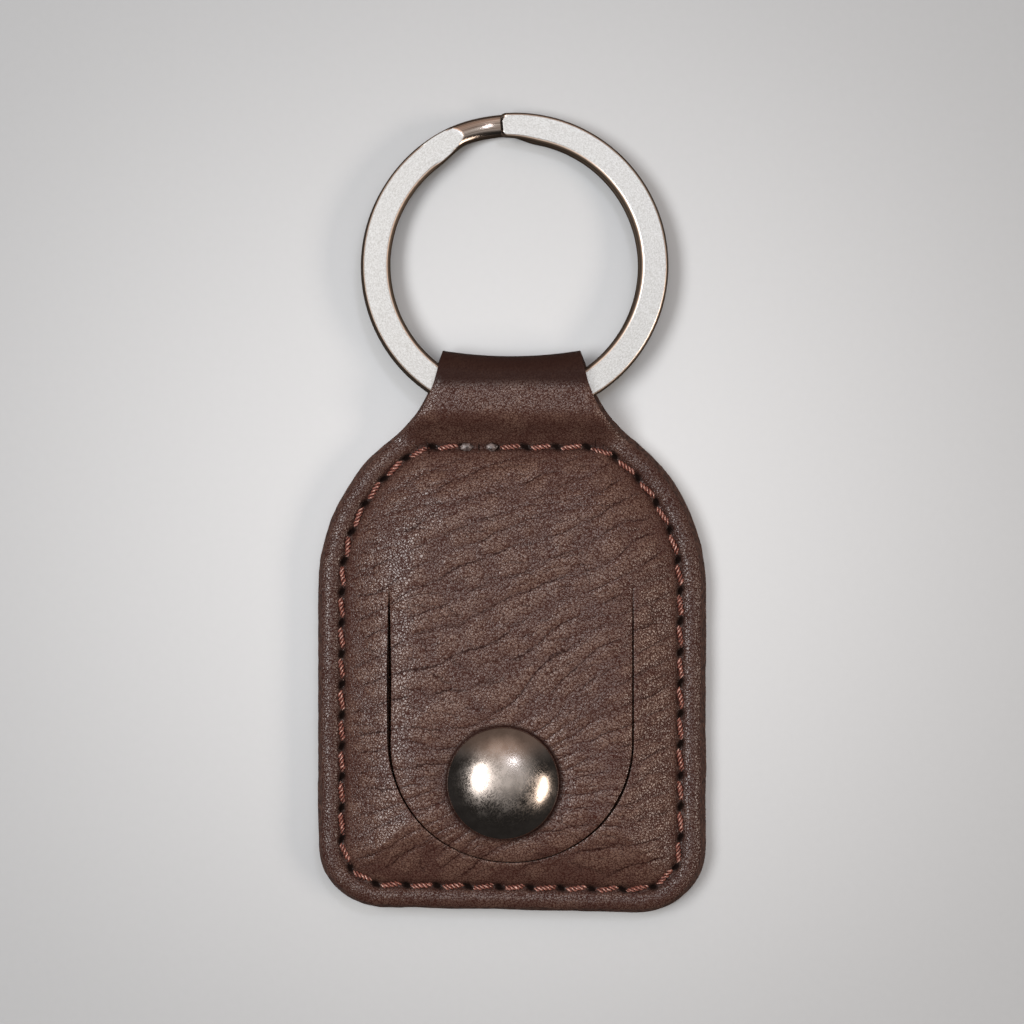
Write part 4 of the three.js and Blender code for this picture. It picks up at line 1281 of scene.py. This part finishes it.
def arc(centre, radius_x, radius_y, start, end, steps):
    """Points of an elliptic arc in the profile's plane, angles in degrees."""
    angles = [math.radians(start + (end - start) * k / steps) for k in range(steps + 1)]
    return [(centre[0] + radius_x * math.cos(a), centre[1] + radius_y * math.sin(a)) for a in angles]


def cap_profile():
    """Section of the cap: a dome with a rolled shoulder and foot, and a lip turned in under it."""
    inner = CAP_RADIUS - CAP_SHEET
    slope = math.radians(CAP_SLOPE)
    shoulder_x = CAP_RADIUS - CAP_SHOULDER
    dome = CAP_SHOULDER + shoulder_x / math.sin(slope)
    middle = (0, CAP_FLOOR + CAP_HEIGHT - dome)
    shoulder_at = (shoulder_x, middle[1] + (dome - CAP_SHOULDER) * math.cos(slope))
    lip_level = CAP_FLOOR + CAP_SHEET
    under = arc(middle, dome - CAP_SHEET, dome - CAP_SHEET, 90, 92 - CAP_SLOPE, 14)
    lip = [(inner, lip_level), (inner - CAP_LIP, lip_level), (inner - CAP_LIP, CAP_FLOOR)]
    foot = arc((CAP_RADIUS - CAP_ROLL, CAP_FLOOR + CAP_ROLL), CAP_ROLL, CAP_ROLL, -90, 0, 6)
    shoulder = arc(shoulder_at, CAP_SHOULDER, CAP_SHOULDER, 0, 90 - CAP_SLOPE, 8)
    return under + lip + foot + shoulder + arc(middle, dome, dome, 90 - CAP_SLOPE, 90, 30)[1:]


def snap_pieces(dark, plain, wire):
    """Both halves of the snap: cap, rivet, socket and spring on the flap, stud and rivet on the back."""
    turned("snap_cap_dome", "snap_cap", cap_profile(), "flap", "dark_nickel", dark, closed=False)
    turned("cap_post_rivet", "cap_post", rounded(CAP_POST, 4), "flap", "plain_nickel", plain, closed=False)
    turned("snap_socket_shell", "snap_socket", rounded(SOCKET, 5), "flap", "plain_nickel", plain)
    turned("snap_stud_shell", "snap_stud", rounded(STUD, 5), "case", "plain_nickel", plain)
    turned("stud_post_rivet", "stud_post", rounded(STUD_POST, 5), "case", "dark_nickel", dark, closed=False)
    socket_spring(wire)


def socket_spring(material):
    """Open ring of round wire in the socket, which grips the stud."""
    bm = bmesh.new()
    made = bmesh.ops.create_circle(bm, cap_ends=True, segments=SPRING_SIDES, radius=SPRING_WIRE)["verts"]
    stand = Matrix.Translation((SPRING_RADIUS, 0, SPRING_HEIGHT)) @ Matrix.Rotation(math.pi / 2, 4, "X")
    bmesh.ops.transform(bm, matrix=stand, verts=made)
    bmesh.ops.rotate(bm, verts=made, cent=(0, 0, 0), matrix=Matrix.Rotation(SPRING_MOUTH, 3, "Z"))
    sweep = 2 * math.pi - 2 * SPRING_MOUTH
    bmesh.ops.spin(bm, geom=list(bm.faces), cent=(0, 0, 0), axis=(0, 0, 1), angle=sweep, steps=SPRING_STEPS)
    bmesh.ops.translate(bm, vec=(SNAP_X, SNAP_Y, 0), verts=bm.verts)
    bmesh.ops.recalc_face_normals(bm, faces=bm.faces)
    return finish_piece(bm, "socket_spring_wire", [material], ["socket_spring"], "flap")


# Split ring
def ring_section():
    """Section of the wire as (outward, upward): rounded sides, flat above and below."""
    half, rise = RING_BAND / 2, RING_COIL / 2 / math.sin(math.radians(RING_SIDE_ARC))
    outer_arc = (-RING_SIDE_ARC, RING_SIDE_ARC, RING_SIDE_STEPS)
    inner_arc = (180 - RING_SIDE_ARC, 180 + RING_SIDE_ARC, RING_SIDE_STEPS)
    outer = arc((half - RING_OUTER_SIDE, 0), RING_OUTER_SIDE, rise, *outer_arc)
    inner = arc((RING_INNER_SIDE - half, 0), RING_INNER_SIDE, rise, *inner_arc)
    across = np.linspace(outer[-1][0], inner[0][0], RING_FACE_STEPS + 1)[1:-1]
    return outer + [(side, RING_COIL / 2) for side in across] + inner


def end_drop(side, to_end):
    """How far the face of the wire falls near its sloped end, round the corners of the flat."""
    flat_half = RING_BAND / 2 - RING_COIL / 2
    near = max(RING_END_CORNER + RING_END_SLOPE - to_end, 0)
    beside = min(max(abs(side) - flat_half + RING_END_CORNER, 0), RING_END_CORNER)
    return min(max(math.hypot(near, beside) - RING_END_CORNER, 0), RING_END_DROP * RING_COIL / 2)


def end_pull(to_end):
    """How far the sides draw in round the corners of a wire end."""
    near = max(RING_END_ROUND - to_end, 0)
    return RING_END_ROUND - math.sqrt(RING_END_ROUND**2 - near**2)


def ring_lean():
    """Lays the ring, modelled level at its swing axis, down with its far side on the floor."""
    far = RING_MIDDLE_Y + RING_RADIUS - RING_AXIS[1]
    low = RING_COIL + RING_COIL_GAP / 2
    tilt = math.atan2(low, far) - math.asin(RING_AXIS[2] / math.hypot(far, low))
    return Matrix.Translation(Vector(RING_AXIS)) @ Matrix.Rotation(tilt, 4, "X")


def split_ring(material):
    """One wire wound twice: level at the front, down a step where the wire stays round, and level at the
    back. It notes how far above the ground faces the round wire would stand."""
    bm = bmesh.new()
    cut = bm.verts.layers.float.new("cut")
    wire = bm.loops.layers.uv.new("wire")
    rows = [RING_END_ROWS, RING_ROWS, RING_STEP_ROWS, RING_TURN - RING_END_ROWS]
    turns = np.unique(np.concatenate(rows))
    section = ring_section()
    along, around = len(turns) - 1, len(section)
    bmesh.ops.create_grid(bm, x_segments=along, y_segments=around, size=1)
    level = (RING_COIL + RING_COIL_GAP) / 2
    face_level = level + RING_COIL / 2
    middle = RING_RADIUS - RING_BAND / 2
    degree = math.radians(1) * middle
    lean = ring_lean()
    for face in bm.faces:
        for loop in face.loops:
            turn = turns[round((loop.vert.co.x + 1) / 2 * along)]
            loop[wire].uv = (turn * degree, (loop.vert.co.y + 1) * (RING_BAND + RING_COIL))
    for vert in bm.verts:
        turn = turns[round((vert.co.x + 1) / 2 * along)]
        side, up = section[round((vert.co.y + 1) / 2 * around) % around]
        to_end = min(turn, RING_TURN - turn) * degree
        up *= 1 - end_drop(side, to_end) / (RING_COIL / 2)
        down = smooth((turn - FRONT_TURN) / STEP_TURN)
        crown = RING_CROWN * (1 - ((side - RING_CROWN_OUT) / RING_CROWN_WIDTH) ** 2)
        crown *= smooth((turn - RING_CROWN_START) / RING_CROWN_RUN)
        crown *= smooth((RING_CROWN_END - turn) / RING_CROWN_RUN)
        stands = level - 2 * level * down + up + crown * up / (RING_COIL / 2)
        if side < 0:
            waist = RING_WAIST * smooth((turn - RING_WAIST_START) / RING_WAIST_IN)
            waist *= smooth((RING_WAIST_END - turn) / RING_WAIST_OUT)
            taper = RING_END_TAPER * smooth(1 - to_end / RING_END_RUN)
            side *= 1 - (waist + taper) / (RING_BAND / 2)
        side *= 1 - end_pull(to_end) / (RING_BAND / 2)
        angle = math.radians(RING_END_ANGLE - turn)
        place = Vector((math.cos(angle), math.sin(angle), 0)) * (middle + side)
        place.x += RING_MIDDLE_X - RING_COIL_SHIFT * down
        place.y += RING_MIDDLE_Y - RING_AXIS[1]
        place.z = np.clip(stands, -face_level, face_level)
        vert[cut] = abs(stands) - face_level
        vert.co = lean @ place
    bmesh.ops.remove_doubles(bm, verts=bm.verts, dist=1e-4)
    bmesh.ops.edgeloop_fill(bm, edges=[edge for edge in bm.edges if edge.is_boundary])
    bmesh.ops.recalc_face_normals(bm, faces=bm.faces)
    return finish_piece(
        bm, "split_ring_wire", [material], ["split_ring"], "ring", sharp=RING_SHARP
    )


# Studio
def pale_floor():
    """Matt pale grey studio paper, with a painted pool of light: paler under the fob, darker away from it."""
    bm = bmesh.new()
    bmesh.ops.create_grid(bm, x_segments=8, y_segments=8, size=FLOOR_HALF)
    mesh = bpy.data.meshes.new("floor")
    bm.to_mesh(mesh)
    bm.free()
    material, shader, node = new_material("studio_paper")
    place = place_in_mm(node)
    # Painted pool of light: darker with distance from the fob, with faint spots in the paper
    away = node("MapRange", node("VectorMath", place, operation="LENGTH"), 0.0, 85.0, **EASED)
    shade = node("Math", node("TexNoise", place, 1 / PAPER_SPOT), 0.06, away, operation="MULTIPLY_ADD")
    feed_named(shader, Base_Color=node("Mix", shade, "dddedf", "b1b2b3", **COLOURS), Roughness=0.9)
    mesh.materials.append(material)
    floor = bpy.data.objects.new("floor", mesh)
    floor.location.z = -FLOOR_DROP * MM
    floor.visible_glossy = False
    bpy.context.scene.collection.objects.link(floor)


def lamp(name, tilt, toward, size, power, tint="ffffff"):
    """A soft oval lamp, tilted from straight above towards a compass angle, aimed at the fob."""
    light = bpy.data.lights.new(name, "AREA")
    light.shape = "ELLIPSE"
    light.size, light.size_y = size
    light.energy = power
    light.color = hex_colour(tint)[:3]
    made = bpy.data.objects.new(name, light)
    a, t = math.radians(toward), math.radians(tilt)
    out = Vector((math.sin(t) * math.cos(a), math.sin(t) * math.sin(a), math.cos(t)))
    made.location = out * LAMP_DISTANCE
    made.rotation_euler = (-out).to_track_quat("-Z", "Y").to_euler()
    bpy.context.scene.collection.objects.link(made)


def studio():
    """Soft lamps above, to both sides, in a dim room."""
    world = bpy.data.worlds.new("studio")
    bpy.context.scene.world = world
    world.use_nodes = True
    node = partial(add, world.node_tree)
    north = node("SeparateXYZ", node("TexCoord", out="Generated"), out="Y")
    leant = node("Math", north, 0.35, north.node.outputs["Z"], operation="MULTIPLY_ADD")
    above = node("MapRange", leant, 0.6, 1.08, 0.04, 0.98, **EASED)
    far_side = node("MapRange", north, 0.35, 0.8, **EASED)
    feed_named(
        world.node_tree.nodes["Background"],
        Color=node("Mix", far_side, "ffffff", "f3d9cb", **COLOURS),
        Strength=node("Math", far_side, 0.24, above, operation="MULTIPLY_ADD"),
    )
    lamp("lamp_left", tilt=34, toward=175, size=(0.42, 0.24), power=2.35)
    lamp("lamp_top", tilt=31, toward=60, size=(0.12, 0.09), power=0.35, tint="eaf2ff")
    lamp("lamp_right", tilt=60, toward=-15, size=(0.36, 0.17), power=1.2, tint="fff1e4")


def camera():
    """Straight above, framed as the photograph is."""
    data = bpy.data.cameras.new("camera")
    data.lens = data.sensor_width * (LENS_HEIGHT - SUBJECT_HEIGHT) / FRAME_WIDTH
    made = bpy.data.objects.new("camera", data)
    made.location = Vector(CAMERA_AT) * MM
    bpy.context.scene.collection.objects.link(made)
    bpy.context.scene.camera = made


camera()
studio()
pale_floor()
leather = [grained_leather(), suede_side(), raw_edge()]
leather_strip(leather)
coin_flap(leather)
thread = twisted_thread()
sewing("front_stitches", "needle_thread", BORDER_TOP - SEAM_DIP, 1, thread)
sewing("back_stitches", "bobbin_thread", BACK_DIP, -1, thread)
melted_ends(melted_thread())
dark_nickel = plated_metal("dark_nickel_plate", "9d928a", "aea39b", roughness=0.13, scuff=0.36)
plain_nickel = plated_metal("plain_nickel_plate", "b5b0a8", "c9c5be", roughness=0.2, scuff=0.12)
spring_steel = plated_metal("drawn_spring_wire", "a9a59f", "bcb8b2", roughness=0.28, scuff=0.15)
snap_pieces(dark_nickel, plain_nickel, spring_steel)
split_ring(satin_steel())
bpy.context.scene.view_settings.view_transform = "Standard"
